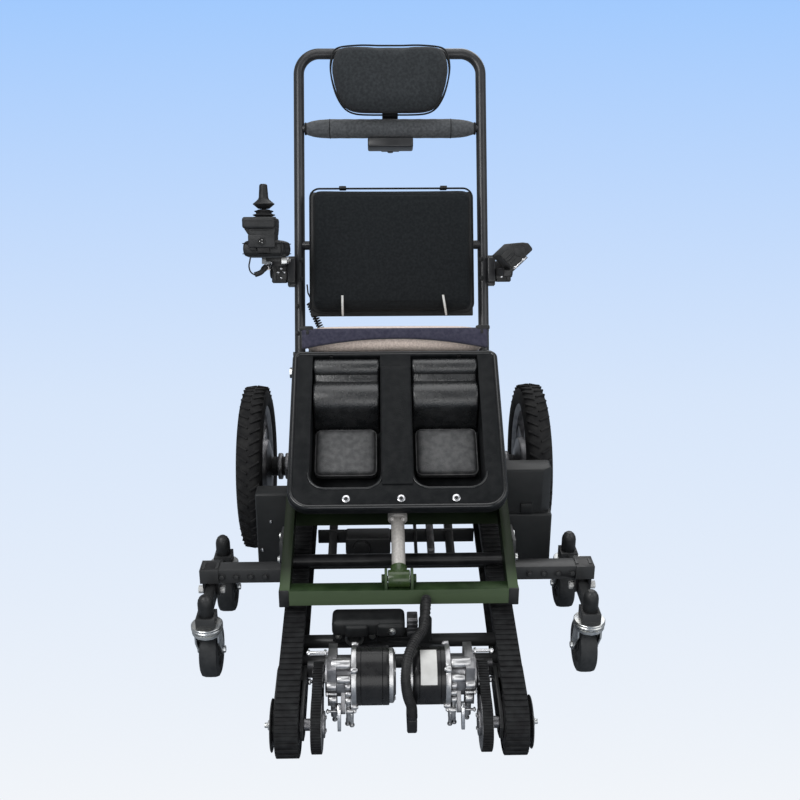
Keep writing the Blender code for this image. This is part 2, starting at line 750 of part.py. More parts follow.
def smooth_route(points, per_span):
    """Catmull-Rom points through a route."""
    places = [Vector(p) for p in points]
    places = [places[0]] + places + [places[-1]]
    route = []
    for i in range(1, len(places) - 2):
        before, a, b, after = places[i - 1:i + 3]
        for step in range(per_span):
            t = step / per_span
            route.append(0.5 * ((2 * a) + (b - before) * t + (2 * before - 5 * a + 4 * b - after) * t * t
                                + (3 * a - before - 3 * b + after) * t ** 3))
    route.append(places[-2])
    return [tuple(p) for p in route]


part("motor_cable", wire(smooth_route(CABLE_ROUTE, 2), CABLE_R), PLASTIC, CRAWLER)

# Green frame: a front bar between two arms that climb back to the seat's pivots
ARM_X = (FRAME_X - GAP - ARM_W, FRAME_X - GAP)
BAR_MIDDLE = (BAR_FRONT - BAR_W / 2, BAR_TOP - BAR_H / 2)
ARM_END = SEAT_PIVOT_AT


def arm_outline():
    """Side outline of an arm, square at the bar and rounded at the seat's pivot."""
    heading = math.atan2(ARM_END[1] - BAR_MIDDLE[1], ARM_END[0] - BAR_MIDDLE[0])
    lift = (ARM_H / 2 * math.sin(heading), -ARM_H / 2 * math.cos(heading))
    front = BAR_FRONT
    low = BAR_TOP - BAR_H
    rise = math.tan(math.pi - heading)
    top_at_bar = BAR_MIDDLE[1] + abs(lift[1]) / math.cos(math.pi - heading) ** 2
    under = BAR_MIDDLE[1] - abs(lift[1]) / math.cos(math.pi - heading) ** 2
    knee = BAR_FRONT - BAR_W
    points = [(front, low), (front, BAR_TOP), (front - 0.008, top_at_bar - rise * -0.006)]
    points += round_end(ARM_END, ARM_H / 2, heading - math.pi / 2, heading + math.pi / 2)
    points += [(knee - 0.010, under + rise * 0.024), (knee, low)]
    return points


def green_frame():
    bar = box((-ARM_X[0] - 0.002, ARM_X[0] + 0.002), (BAR_FRONT - BAR_W, BAR_FRONT),
              (BAR_TOP - BAR_H, BAR_TOP))
    pieces = []
    holes = []
    drop = (BAR_MIDDLE[0] - CROSS_AHEAD) * math.tan(ARM_SLOPE) + BAR_MIDDLE[1]
    pieces.append(box((-ARM_X[1] + 0.001, ARM_X[1] - 0.001), (CROSS_AHEAD - 0.007, CROSS_AHEAD + 0.007),
                      (drop - 0.056, drop - 0.006)))
    for side in SIDES.values():
        pieces.append(plate(span(side, *ARM_X), arm_outline()))
        holes.append(across(span(side, ARM_X[0] - 0.01, ARM_X[1] + 0.01), SEAT_PIVOT_AT, 0.008 + GAP, 16))
        ear = capsule((ROD_PIVOT_AT[0], ROD_PIVOT_AT[1] + 0.006), (ROD_PIVOT_AT[0], BAR_TOP - 0.004),
                      0.013, 0.014)
        pieces.append(plate(span(side, 0.0205, 0.0255), ear))
        pieces.append(across(span(side, 0.0250, 0.0310), ROD_PIVOT_AT, 0.008, 6))
    pieces.append(across((-0.0255, 0.0255), ROD_PIVOT_AT, PIN_R, 12))
    return cut(joined(bar, *pieces), *holes)


part("green_frame", green_frame(), GREEN, GROUND)


def caster_beam():
    """Square outriggers hung under the arms, with a round tube between them."""
    pieces = []
    holes = []
    arm_z = BAR_MIDDLE[1] + (BAR_MIDDLE[0] - BEAM_AHEAD) * math.tan(ARM_SLOPE)
    tube_at = (BEAM_AHEAD + 0.006, BEAM_Z + 0.0265)
    tube = across((-FRAME_X - 0.002, FRAME_X + 0.002), tube_at, CROSS_TUBE_R)
    for side in SIDES.values():
        pieces.append(box(span(side, FRAME_X + 0.001, BEAM_HALF),
                          (BEAM_AHEAD - BEAM_D / 2, BEAM_AHEAD + BEAM_D / 2),
                          (BEAM_Z - BEAM_H / 2, BEAM_Z + BEAM_H / 2)))
        pieces.append(box(span(side, FRAME_X, FRAME_X + PLATE_T), (BEAM_AHEAD - 0.032, BEAM_AHEAD + 0.032),
                          (BEAM_Z - BEAM_H / 2, arm_z + 0.010)))
        pieces.append(box(span(side, BOGIE_X - 0.0155, BEAM_HALF + 0.004),
                          (BEAM_AHEAD - 0.020, BEAM_AHEAD + 0.020),
                          (BEAM_Z - 0.012, BEAM_Z + BEAM_H / 2 + 0.0015)))
        for edge in (-1, 1):
            inner = BOGIE_X + edge * (BOGIE_W / 2 + RUN)
            limits = sorted((inner, inner + edge * 0.005))
            ear = capsule((BEAM_AHEAD, BOGIE_PIVOT_Z), (BEAM_AHEAD, BEAM_Z), 0.014, 0.019)
            pieces.append(plate(span(side, *limits), ear))
        holes.append(across(span(side, BOGIE_X - 0.03, BOGIE_X + 0.03), (BEAM_AHEAD, BOGIE_PIVOT_Z),
                            0.006 + GAP))
    return cut(joined(tube, *pieces), *holes)


part("caster_beam", caster_beam(), BLACK, GROUND)


def bogie(name, side):
    """A rocker bar with a swivel housing and a domed cap at each end."""
    pivot = (BEAM_AHEAD, BOGIE_PIVOT_Z)
    low = BOGIE_PIVOT_Z - BOGIE_H / 2
    high = BOGIE_PIVOT_Z + BOGIE_H / 2
    bar = box(span(side, BOGIE_X - BOGIE_W / 2, BOGIE_X + BOGIE_W / 2),
              (BEAM_AHEAD - BOGIE_REACH, BEAM_AHEAD + BOGIE_REACH), (low, high))
    pieces = []
    holes = []
    for end in (-1, 1):
        ahead = BEAM_AHEAD + end * BOGIE_REACH
        x = side * (BOGIE_X - 0.006)
        housing = box(span(side, BOGIE_X - 0.023, BOGIE_X + 0.011), (ahead - 0.018, ahead + 0.018),
                      (low, high + 0.002))
        dome = turned_up([(0.0126, high + 0.001), (0.0126, high + 0.030), (0.0105, high + 0.037),
                          (0.006, high + 0.041)], x, ahead)
        pieces += [housing, dome]
        holes.append(rod((x, ahead, low - 0.01), (x, ahead, high - 0.004), 0.007 + GAP))
    pin = across(span(side, BOGIE_X - 0.021, BOGIE_X + 0.024), pivot, 0.006)
    solid = cut(joined(bar, *pieces), *holes)
    part(f"bogie_{name}", joined(solid, pin), BLACK, GROUND)
    moved_origin(solid, (side * BOGIE_X, *pivot))


def turned_up(profile, x, ahead, steps=12):
    """An open (radius, z) profile turned about an upright line, with flat ends."""
    bm = bmesh.new()
    rings = []
    for r, z in profile:
        ring = []
        for i in range(steps):
            angle = 2 * math.pi * i / steps
            ring.append(bm.verts.new((x + r * math.cos(angle), -ahead + r * math.sin(angle), z)))
        rings.append(ring)
    for low, high in zip(rings, rings[1:]):
        for i in range(steps):
            j = (i + 1) % steps
            bm.faces.new((low[i], low[j], high[j], high[i]))
    bm.faces.new(rings[0][::-1])
    bm.faces.new(rings[-1])
    bmesh.ops.recalc_face_normals(bm, faces=bm.faces)
    return from_bmesh("turned_up", bm)


CASTER_X = BOGIE_X - 0.006
CROWN_TOP = BOGIE_PIVOT_Z - BOGIE_H / 2 - GAP
FORK_TOP = CASTER_R * 2 + 0.004


def caster(name, side, end):
    """A fork that swivels in the bogie's housing, and the wheel that trails in it."""
    ahead = BEAM_AHEAD + end * BOGIE_REACH
    x = side * CASTER_X
    axle = (ahead - CASTER_TRAIL, CASTER_R)
    stem = rod((x, ahead, FORK_TOP + 0.003), (x, ahead, BOGIE_PIVOT_Z + BOGIE_H / 2 - 0.005), 0.007)
    crown = rod((x, ahead, FORK_TOP + RUN), (x, ahead, CROWN_TOP), CROWN_R)
    pieces = [crown]
    for edge in (-1, 1):
        inner = x + edge * (CASTER_W / 2 + 0.002)
        limits = sorted((inner, inner + edge * 0.003))
        leg = plate(limits, round_end(axle, 0.010, math.radians(150), math.radians(330))
                    + [(ahead + 0.012, FORK_TOP - 0.014), (ahead + 0.012, FORK_TOP + 0.004),
                       (ahead - 0.014, FORK_TOP + 0.004), (ahead - 0.020, FORK_TOP - 0.004)])
        pieces.append(leg)
    pin = across((x - CASTER_W / 2 - 0.008, x + CASTER_W / 2 + 0.008), axle, 0.004, 8)
    fork = joined(stem, *pieces, pin)
    part(f"caster_fork_{name}", fork, STEEL, GROUND)
    moved_origin(fork, (x, ahead, CASTER_R))
    half = CASTER_W / 2
    wheel = turned([(0.0043, -half), (CASTER_R * 0.90, -half), (CASTER_R, -half * 0.5),
                    (CASTER_R, half * 0.5), (CASTER_R * 0.90, half), (0.0043, half)], x, axle, 16)
    part(f"caster_wheel_{name}", wheel, RUBBER, GROUND)
    moved_origin(wheel, (x, *axle))


for side_name, side_sign in SIDES.items():
    bogie(side_name, side_sign)
    caster(f"front_{side_name}", side_sign, 1)
    caster(f"rear_{side_name}", side_sign, -1)


def rear_subframe():
    """Side plates that carry the wheel stubs, the crawler's pivots and the arms' rear ends."""
    cross_at = (-0.040, WHEEL_R + 0.012)
    cross = across((-FRAME_X - 0.002, FRAME_X + 0.002), cross_at, 0.015)
    pieces = []
    holes = []
    front = BOX_AHEAD + BOX_D - 0.006
    top = SEAT_PIVOT_AT[1] + 0.018
    shoulder = SEAT_PIVOT_AT[1] - 0.010
    outline = [(-PLATE_REAR, WHEEL_R - 0.025), (front, BOX_LOW + 0.027), (front, BOX_SEAM - 0.002),
               ((BOX_AHEAD + REAR_DRUM[0]) / 2 - 0.0055, REAR_DRUM[1] + 0.057),
               (SEAT_PIVOT_AT[0] + 0.036, shoulder), (SEAT_PIVOT_AT[0] + 0.012, top),
               (SEAT_PIVOT_AT[0] - 0.012, top), (SEAT_PIVOT_AT[0] - 0.036, shoulder),
               (-PLATE_REAR, WHEEL_R + 0.065)]
    for side in SIDES.values():
        pieces.append(plate(span(side, FRAME_X, FRAME_X + PLATE_T), outline))
        pieces.append(across(span(side, FRAME_X + 0.002, WHEEL_X - HUB_W / 2 - RUN), (0, WHEEL_R), 0.022))
        pieces.append(across(span(side, FRAME_X + 0.002, WHEEL_X + 0.010), (0, WHEEL_R), AXLE_R, 16))
        holes.append(across(span(side, FRAME_X - 0.01, FRAME_X + 0.02), REAR_DRUM, DRUM_AXLE_R + GAP, 16))
        holes.append(across(span(side, FRAME_X - 0.01, FRAME_X + 0.02), SEAT_PIVOT_AT, 0.008 + GAP, 16))
    return cut(joined(cross, *pieces), *holes)


part("rear_subframe", rear_subframe(), BLACK, GROUND)

# Battery box on one side and control box on the other, bolted to the side plates
BOX_IN = FRAME_X + PLATE_T + GAP
box_ahead = (BOX_AHEAD, BOX_AHEAD + BOX_D)
battery = box((BOX_IN, BOX_OUT), box_ahead, (BOX_LOW, BOX_SEAM - GAP), 0.003)
part("battery_box", battery, BLACK, GROUND)
lid = box((BOX_IN, BOX_OUT - 0.003), (box_ahead[0], box_ahead[1] - 0.004), (BOX_SEAM, BOX_HIGH), 0.003)
slant = box((-0.05, 0.05), (-0.05, 0.05), (-0.2, 0.2))
slant.data.transform(Matrix.Translation((BOX_OUT + 0.028, -box_ahead[1] - 0.020, BOX_HIGH))
                     @ Matrix.Rotation(math.radians(38), 4, "Z"))
part("battery_lid", cut(lid, slant), BLACK, GROUND)
side_box = box((-SIDE_BOX_OUT, -BOX_IN), (box_ahead[0], box_ahead[1] - 0.012),
               (BOX_LOW - 0.006, SIDE_BOX_HIGH), 0.003)
part("control_box", side_box, BLACK, GROUND)

# Strut between the green frame's clevis and the seat's leg beam
STRUT_ANGLE = math.atan2(HOUSING_PIVOT_AT[1] - ROD_PIVOT_AT[1], ROD_PIVOT_AT[0] - HOUSING_PIVOT_AT[0])
STRUT_L = math.hypot(HOUSING_PIVOT_AT[1] - ROD_PIVOT_AT[1], ROD_PIVOT_AT[0] - HOUSING_PIVOT_AT[0])
STRUT = empty("strut_pivot", ROD_PIVOT_AT[0], ROD_PIVOT_AT[1], math.pi / 2 - STRUT_ANGLE, GROUND)
SLEEVE_R = 0.0150
ROD_TIP = STRUT_L - 0.034


def strut_rod():
    """The inner rod, with the welded cross sleeve that turns on the clevis pin."""
    shaft = rod((0, 0, 0.006), (0, 0, ROD_TIP), ROD_R - 0.003, 16)
    sleeve = across((-0.0195, 0.0195), (0, 0), SLEEVE_R, 16)
    socket = rod((0, 0, 0.002), (0, 0, 0.024), ROD_R + 0.0012, 16)
    bore = across((-0.03, 0.03), (0, 0), PIN_R + GAP, 12)
    return cut(joined(shaft, sleeve, socket), bore)


part("strut_rod", strut_rod(), STEEL, STRUT)


def strut_tube():
    """The outer tube that slides over the rod, with its collar and top lug."""
    body = rod((0, 0, 0.0243), (0, 0, STRUT_L - 0.018), ROD_R, 16)
    collar = rod((0, 0, STRUT_L - 0.0275), (0, 0, STRUT_L - 0.0135), HOUSING_R, 16)
    lug = plate((-0.008, 0.008), capsule((0, STRUT_L - 0.012), (0, STRUT_L), 0.012, 0.010))
    eye = across((-0.02, 0.02), (0, STRUT_L), PIN_R + EYE_CLEARANCE, 16)
    bore = rod((0, 0, 0.02), (0, 0, STRUT_L - 0.030), ROD_R - 0.003 + GAP, 16)
    return cut(joined(body, collar, lug), bore, eye)


part("strut_tube", strut_tube(), STEEL, STRUT)

# Seat
SEAT = empty("seat_frame_origin", RECLINE_AT[0], RECLINE_AT[1], SEAT_TILT, GROUND)
RAIL_TOP = SEAT_BASE_W - GAP
RAIL_LOW = RAIL_TOP - SEAT_RAIL
RAIL_OUT = SEAT_W / 2
BACK_TUBE_X = BACK_W / 2 - TUBE_R


def in_frame(at, origin, lean):
    """A ground-frame (ahead, z) point in a leaned frame's (ahead, up)."""
    dx = at[0] - origin[0]
    dz = at[1] - origin[1]
    return (dx * math.cos(lean) + dz * math.sin(lean), -dx * math.sin(lean) + dz * math.cos(lean))


SEAT_PIVOT_LOCAL = in_frame(SEAT_PIVOT_AT, RECLINE_AT, SEAT_TILT)
STRUT_TOP_LOCAL = in_frame(HOUSING_PIVOT_AT, RECLINE_AT, SEAT_TILT)
TRAY_HINGE_LOCAL = in_frame(TRAY_HINGE_AT, RECLINE_AT, SEAT_TILT)
HINGE_PLATE_X = (RAIL_OUT + 0.001, RAIL_OUT + 0.007)
LUG_X = (ARM_X[0] - 0.0075, ARM_X[0] - 0.0015)
RAIL_FRONT = SEAT_L - 0.004
BEAM_W = 0.036


def seat_frame():
    """Side rails, cross bars, back hinges, pivot lugs and the leg beam that runs down under the tray."""
    front = RAIL_FRONT
    pieces = []
    low_z = (RAIL_LOW, RAIL_TOP)
    base = box((-RAIL_OUT + 0.001, RAIL_OUT - 0.001), (0.030, front - 0.001), (RAIL_TOP - 0.004, RAIL_TOP))
    for side in SIDES.values():
        pieces.append(box(span(side, RAIL_OUT - SEAT_RAIL, RAIL_OUT), (-0.012, front), low_z))
        hinge = capsule((0.016, RAIL_LOW + 0.014), (0, 0), 0.013, 0.013)
        pieces.append(plate(span(side, HINGE_PLATE_X[0] - 0.002, HINGE_PLATE_X[1]), hinge))
        hinge_pin = span(side, HINGE_PLATE_X[1] - 0.001, BACK_TUBE_X + TUBE_R + 0.004)
        pieces.append(across(hinge_pin, (0, 0), 0.005))
        lug = capsule(SEAT_PIVOT_LOCAL, (SEAT_PIVOT_LOCAL[0], RAIL_LOW + 0.010), 0.014, 0.016)
        pieces.append(plate(span(side, RAIL_OUT - 0.008, LUG_X[1]), lug))
        pieces.append(across(span(side, LUG_X[1] - 0.001, FRAME_X + PLATE_T + 0.004), SEAT_PIVOT_LOCAL,
                             0.008, 16))
    for ahead in (-0.012, front - SEAT_RAIL):
        pieces.append(box((-RAIL_OUT + 0.004, RAIL_OUT - 0.004), (ahead, ahead + SEAT_RAIL),
                          (RAIL_LOW + 0.0005, RAIL_TOP)))
    pieces.append(rod((-0.150, 0.0, RAIL_TOP - 0.002), (-0.150, 0.0, 0.004), 0.007))
    return joined(base, *pieces)


SEAT_FRAME = seat_frame()
TRAY_LEAN = SEAT_TILT + TRAY_SLOPE


def leg_beam():
    """A flat beam under the tray's middle, in the seat's frame, with ears for the strut."""
    hinge = TRAY_HINGE_LOCAL
    down = (math.cos(-TRAY_LEAN), math.sin(-TRAY_LEAN))
    out = (-down[1], down[0])

    def spot(t, m):
        return (hinge[0] + down[0] * t + out[0] * m, hinge[1] + down[1] * t + out[1] * m)

    top = TRAY_FACE - TRAY_RIM - GAP
    low = top - LEG_BEAM_D
    outline = [spot(-0.004, top), spot(LEG_BEAM_END, top), spot(LEG_BEAM_END, low), spot(0.030, low),
               (RAIL_FRONT - 0.050, RAIL_LOW), (RAIL_FRONT - 0.060, RAIL_LOW + 0.012),
               (RAIL_FRONT - 0.004, RAIL_TOP - 0.002)]
    beam = plate((-BEAM_W / 2, BEAM_W / 2), outline)
    pieces = []
    holes = []
    for side in SIDES.values():
        ear = capsule(STRUT_TOP_LOCAL, spot(LEG_BEAM_END - 0.009, top - 0.009), 0.010, 0.007)
        pieces.append(plate(span(side, 0.0100, 0.0150), ear))
        hinge_ear = capsule((RAIL_FRONT - 0.012, RAIL_TOP - 0.012), hinge, 0.011, TRAY_EAR_R)
        pieces.append(plate(span(side, TRAY_EAR_X, TRAY_EAR_X + TRAY_EAR_T), hinge_ear))
        holes.append(across(span(side, TRAY_EAR_X - 0.004, TRAY_EAR_X + TRAY_EAR_T + 0.004), hinge,
                            TRAY_HINGE_R + GAP))
    pieces.append(across((-0.0150, 0.0150), STRUT_TOP_LOCAL, PIN_R, 12))
    return joined(beam, *pieces), holes


LEG_BEAM, EAR_HOLES = leg_beam()
part("seat_frame", cut(joined(SEAT_FRAME, LEG_BEAM), *EAR_HOLES), BLACK, SEAT)
seat_cushion = rounded((-SEAT_W / 2, SEAT_W / 2), (0.022, SEAT_L + 0.016),
                       (SEAT_BASE_W, SEAT_BASE_W + SEAT_T),
                       0.006, 0.030, 0.004)
part("seat_cushion", seat_cushion, SEAT_CLOTH, SEAT)

# Leg tray: a moulded tub with two wells, hinged at the front of the seat
TRAY = empty("leg_tray_hinge", TRAY_HINGE_AT[0], TRAY_HINGE_AT[1], -TRAY_SLOPE, GROUND)
FACE = TRAY_FACE
WELL_FLOOR = FACE - TRAY_D
WALL = 0.004
TRAY_START = -0.004
WELL_START = 0.029
WELL_MARGIN = 0.045
WELL_END = TRAY_L - WELL_MARGIN
ROLL_START = TRAY_EAR_R + 0.0025
ROLL_STEP = FACE - TRAY_RIM + WALL
CALF_ROLLS = ((0.028, 0.018, 0.003, 150, 10), (0.088, 0.033, -0.001, 150, 0))
FOOT_PAD = (0.142, 0.242)
FOOT_PAD_H = 0.034
FOOT_FLOOR = 0.010
LOW_CORNER = 0.037
HIGH_CORNER = 0.015


def sheet_outline(x, t, corner_low, corner_high, steps=5):
    """Rounded rectangle in the tray's face, as (x, t) points."""
    points = []
    for cx, ct, r, start in ((x[1], t[1], corner_low, 0), (x[0], t[1], corner_low, 90),
                             (x[0], t[0], corner_high, 180), (x[1], t[0], corner_high, 270)):
        sx = -1 if cx == x[1] else 1
        st = -1 if ct == t[1] else 1
        for i in range(steps + 1):
            angle = math.radians(start + 90 * i / steps)
            points.append((cx + sx * r + r * math.cos(angle), ct + st * r + r * math.sin(angle)))
    return points


def slab(outline, z):
    """An (x, ahead) outline raised between two heights."""
    bm = bmesh.new()
    face = bm.faces.new([bm.verts.new((x, -ahead, z[0])) for x, ahead in outline])
    moved = bmesh.ops.extrude_face_region(bm, geom=[face])["geom"]
    raised = [v for v in moved if isinstance(v, bmesh.types.BMVert)]
    bmesh.ops.translate(bm, vec=(0, 0, z[1] - z[0]), verts=raised)
    bmesh.ops.recalc_face_normals(bm, faces=bm.faces)
    return from_bmesh("slab", bm)


def bevelled(thing, width, angle=30):
    """Rounds the edges that are sharper than an angle."""
    edge = thing.modifiers.new("edge", "BEVEL")
    edge.width = width
    edge.segments = 2
    edge.limit_method = "ANGLE"
    edge.angle_limit = math.radians(angle)
    return baked(thing)


def leg_tray():
    half = TRAY_W / 2
    rim = slab(sheet_outline((-half, half), (TRAY_START, TRAY_L), LOW_CORNER, HIGH_CORNER),
               (FACE - TRAY_RIM, FACE))
    bevelled(rim, 0.004)
    tubs = []
    cuts = []
    for side in SIDES.values():
        x = span(side, WELL_IN - WALL, WELL_OUT + WALL)
        tubs.append(box(x, (WELL_START - WALL, WELL_END + WALL), (WELL_FLOOR - WALL, FACE - 0.010), 0.005))
        well_x = span(side, WELL_IN, WELL_OUT)
        cuts.append(slab(sheet_outline(well_x, (WELL_START, WELL_END), 0.003, 0.003, 1),
                         (WELL_FLOOR, FACE + 0.01)))
        cuts.append(box(well_x, (ROLL_START, WELL_START + 4 * RUN), (ROLL_STEP, FACE + 0.01)))
        notch_x = span(side, TRAY_EAR_X - RUN, TRAY_EAR_X + TRAY_EAR_T + RUN)
        cuts.append(box(notch_x, (TRAY_START - 0.01, TRAY_EAR_R + RUN),
                        (FACE - TRAY_RIM - 0.01, FACE + 0.01)))
    tray = cut(joined(rim, *tubs), *cuts)
    pins = [across(span(side, TRAY_EAR_X - 0.010, TRAY_EAR_X + TRAY_EAR_T + 0.010), (0, 0), TRAY_HINGE_R)
            for side in SIDES.values()]
    return joined(tray, *pins)


part("leg_tray", leg_tray(), VINYL, TRAY)


def crest(ahead, radius, proud, first, last):
    """Upper arc of a padded roll, as (ahead, up) points."""
    angles = [math.radians(first + (last - first) * i / 3) for i in range(4)]
    middle = FACE + proud - radius
    return [(ahead + radius * math.cos(angle), middle + radius * math.sin(angle)) for angle in angles]


def leg_cushion():
    """Calf rolls and foot pads in both wells, joined by a strip over the ridge between them."""
    deep = WELL_FLOOR + GAP
    start = WELL_START + 0.001
    stop = WELL_END - 0.001
    upper = crest(*CALF_ROLLS[0])
    roll = [(ROLL_START + RUN, ROLL_STEP + GAP), *upper, (upper[-1][0] + RUN, ROLL_STEP + GAP)]
    profile = [(start, deep), (start, ROLL_STEP + RUN), (upper[-1][0], upper[-1][1] - RUN), *crest(*CALF_ROLLS[1])]
    foot, toe = FOOT_PAD
    profile += [(foot - 0.016, deep + FOOT_FLOOR), (foot, deep + FOOT_FLOOR),
                (foot + 0.002, deep + FOOT_PAD_H - 0.006),
                (foot + 0.010, deep + FOOT_PAD_H), (toe - 0.010, deep + FOOT_PAD_H),
                (toe - 0.002, deep + FOOT_PAD_H - 0.006), (toe, deep + FOOT_FLOOR),
                (stop, deep + FOOT_FLOOR - 0.002), (stop, deep)]
    pieces = []
    for side in SIDES.values():
        pad = bevelled(plate(span(side, WELL_IN + 0.001, WELL_OUT - 0.001), profile), 0.004, 85)
        web = box(span(side, WELL_IN + 0.001, WELL_IN + 0.005), (WELL_START + 0.012, WELL_END - 0.018),
                  (deep + 0.001, FACE + 0.0055))
        pieces += [plate(span(side, WELL_IN + 0.0014, WELL_OUT - 0.0014), roll), pad, web]
    strip = box((-WELL_IN - 0.004, WELL_IN + 0.004), (WELL_START + 0.014, WELL_END - 0.020),
                (FACE + GAP, FACE + 0.005))
    return joined(strip, *pieces)


part("leg_cushion", leg_cushion(), VINYL, TRAY)

# Back frame, leaned back from the seat
BACK = empty("back_hinge", RECLINE_AT[0], RECLINE_AT[1], BACK_LEAN, GROUND)
BOSS_OUT = ARM_IN - GAP
TUBE_OUT = BACK_TUBE_X + TUBE_R
BRACKET_V = (BOLSTER_V - BOLSTER_R - 0.024, BOLSTER_V - BOLSTER_R - RUN)


def back_frame():
    """One bent tube with its cross tubes, the armrests' bosses and the headrest's clamp."""
    side_x = BACK_TUBE_X
    top = BACK_H - TUBE_R
    route = [(-side_x, 0, -0.016), (-side_x, 0, top - TUBE_BEND_R)]
    for i in range(1, 6):
        angle = math.pi - i * math.pi / 10
        route.append((-side_x + TUBE_BEND_R + TUBE_BEND_R * math.cos(angle), 0,
                      top - TUBE_BEND_R + TUBE_BEND_R * math.sin(angle)))
    route += [(-x, ahead, up) for x, ahead, up in reversed(route)]
    frame = wire(route, TUBE_R, 3)
    pieces = [across((-side_x, side_x), (0, BACK_CROSS_V), 0.0105),
              across((-side_x, side_x), (0, BOLSTER_V), UPPER_TUBE_R),
              rod((0, 0, BOLSTER_V), (0, -STEM_BEHIND, BOLSTER_V), 0.006, 12)]
    holes = [rod((0, -STEM_BEHIND, BOLSTER_V - 0.09), (0, -STEM_BEHIND, BOLSTER_V + 0.05), STEM_R + GAP)]
    pieces.append(box((-0.022, 0.022), (-STEM_BEHIND - 0.012, -BOLSTER_R - 2 * RUN),
                      (BRACKET_V[0] + 0.004, BOLSTER_V + CLAMP_RISE)))
    pieces.append(box((-0.054, 0.054), (-BOLSTER_R - 0.006, BOLSTER_R * 0.6), BRACKET_V, 0.004))
    for side in SIDES.values():
        pieces.append(box(span(side, TUBE_OUT - 0.004, BOSS_OUT - 0.0007),
                          (-TUBE_R + 0.001, TUBE_R - 0.001), HOUSING_V))
        at = (ARM_PIVOT_AHEAD, ARM_PIVOT_V)
        pieces.append(across(span(side, TUBE_OUT - 0.003, BOSS_OUT), at, ARM_BOSS_R))
        pieces.append(across(span(side, BOSS_OUT - 0.001, ARM_IN + KNUCKLE_W - 0.010), at, ARM_STUB_R))
        holes.append(across(span(side, side_x - 0.03, side_x + 0.03), (0, 0), 0.005 + GAP))
    return cut(joined(frame, *pieces), *holes)


part("back_frame", back_frame(), TUBE, BACK)

board_ahead = (0.0105 + GAP, 0.0105 + GAP + BOARD_T)
board = box((-CUSHION_W / 2, CUSHION_W / 2), board_ahead, (CUSHION_LOW - 0.003, CUSHION_HIGH - 0.003))
part("back_board", board, PLASTIC, BACK)
cushion_ahead = (board_ahead[1] + GAP * 2, board_ahead[1] + GAP * 2 + CUSHION_T)
back_cushion = rounded((-CUSHION_W / 2, CUSHION_W / 2), cushion_ahead, (CUSHION_LOW, CUSHION_HIGH), 0.003,
                       0.024, 0.003, -1)
part("back_cushion", back_cushion, FABRIC, BACK)

BOLSTER_ENDS = BACK_TUBE_X - TUBE_R - GAP * 2


def bolster():
    """A padded sleeve on the upper cross tube: fat in the middle, gathered to its ends."""
    profile = [(BOLSTER_END_R + (BOLSTER_R - BOLSTER_END_R) * min(1, share / 0.24) ** 0.5,
                BOLSTER_ENDS * (1 - share))
               for share in (0.0, 0.06, 0.13, 0.24, 1.0)]
    profile += [(r, -x) for r, x in reversed(profile[:-1])]
    profile += [(UPPER_TUBE_R + RUN, -BOLSTER_ENDS), (UPPER_TUBE_R + RUN, BOLSTER_ENDS)]
    sleeve = turned(profile, 0.0, (0, BOLSTER_V), 12)
    hole = rod((0, -UPPER_TUBE_R * 0.5, BOLSTER_V), (0, -BOLSTER_R - 0.01, BOLSTER_V), 0.006 + GAP, 12)
    return cut(sleeve, hole)


part("bolster", bolster(), FABRIC, BACK)

# Headrest on a stem that slides in the clamp behind the bolster
HEAD_REAR = HEAD_AHEAD - HEAD_T / 2
STEM_TOP = HEAD_LOW + STEM_RISE


def headrest_stem():
    """An upright stem, turned forward into the pad's back plate."""
    link_top = STEM_TOP + STEM_LINK_H / 2 - STEM_R - 2 * RUN
    upright = rod((0, -STEM_BEHIND, BOLSTER_V - STEM_DROP), (0, -STEM_BEHIND, STEM_TOP), STEM_R)
    link = box((-STEM_LINK_W / 2, STEM_LINK_W / 2), (-STEM_BEHIND - 0.006, HEAD_REAR - GAP),
               (link_top - STEM_LINK_H, link_top), 0.002)
    collar = box((-STEM_LINK_W / 2, STEM_LINK_W / 2), (-STEM_BEHIND - 0.009, -STEM_BEHIND + 0.009),
                 (BOLSTER_V + CLAMP_RISE + RUN, link_top - STEM_LINK_H / 2), 0.002)
    back = box((-HEAD_PLATE_W / 2, HEAD_PLATE_W / 2), (HEAD_REAR - GAP - 0.004, HEAD_REAR - GAP),
               (STEM_TOP - 0.045, STEM_TOP - 0.045 + HEAD_PLATE_H), 0.001)
    return joined(upright, link, collar, back)


part("headrest_stem", headrest_stem(), BLACK, BACK)

HEAD_OUTLINE = ((0.52, 0.0), (0.74, 0.05), (0.90, 0.20), (0.97, 0.45), (1.0, 0.70), (0.99, 0.90),
                (0.90, 0.985), (0.55, 1.0), (0.20, 0.985))
HEAD_RINGS = ((0.80, 0.0), (0.97, 0.10), (1.0, 0.35), (0.97, 0.68), (0.86, 0.90), (0.60, 1.0))


def headrest_pad():
    """A padded shield: wide at the top, tapering to a rounded foot, with a flat back."""
    height = HEAD_HIGH - HEAD_LOW
    outline = [(HEAD_W / 2 * x, HEAD_LOW + height * up) for x, up in HEAD_OUTLINE]
    outline += [(-x, up) for x, up in reversed(outline)]
    middle = HEAD_LOW + height / 2
    bm = bmesh.new()
    rings = []
    for share, depth in HEAD_RINGS:
        rings.append([bm.verts.new((x * share, -(HEAD_REAR + HEAD_T * depth),
                                    middle + (up - middle) * share))
                      for x, up in outline])
    for low, high in zip(rings, rings[1:]):
        for i in range(len(low)):
            j = (i + 1) % len(low)
            bm.faces.new((low[i], low[j], high[j], high[i]))
    bm.faces.new(rings[0][::-1])
    bm.faces.new(rings[-1])
    bmesh.ops.recalc_face_normals(bm, faces=bm.faces)
    return from_bmesh("headrest_pad", bm)


part("headrest_pad", headrest_pad(), FABRIC, BACK)

# Armrests that flip up about the back frame's stubs


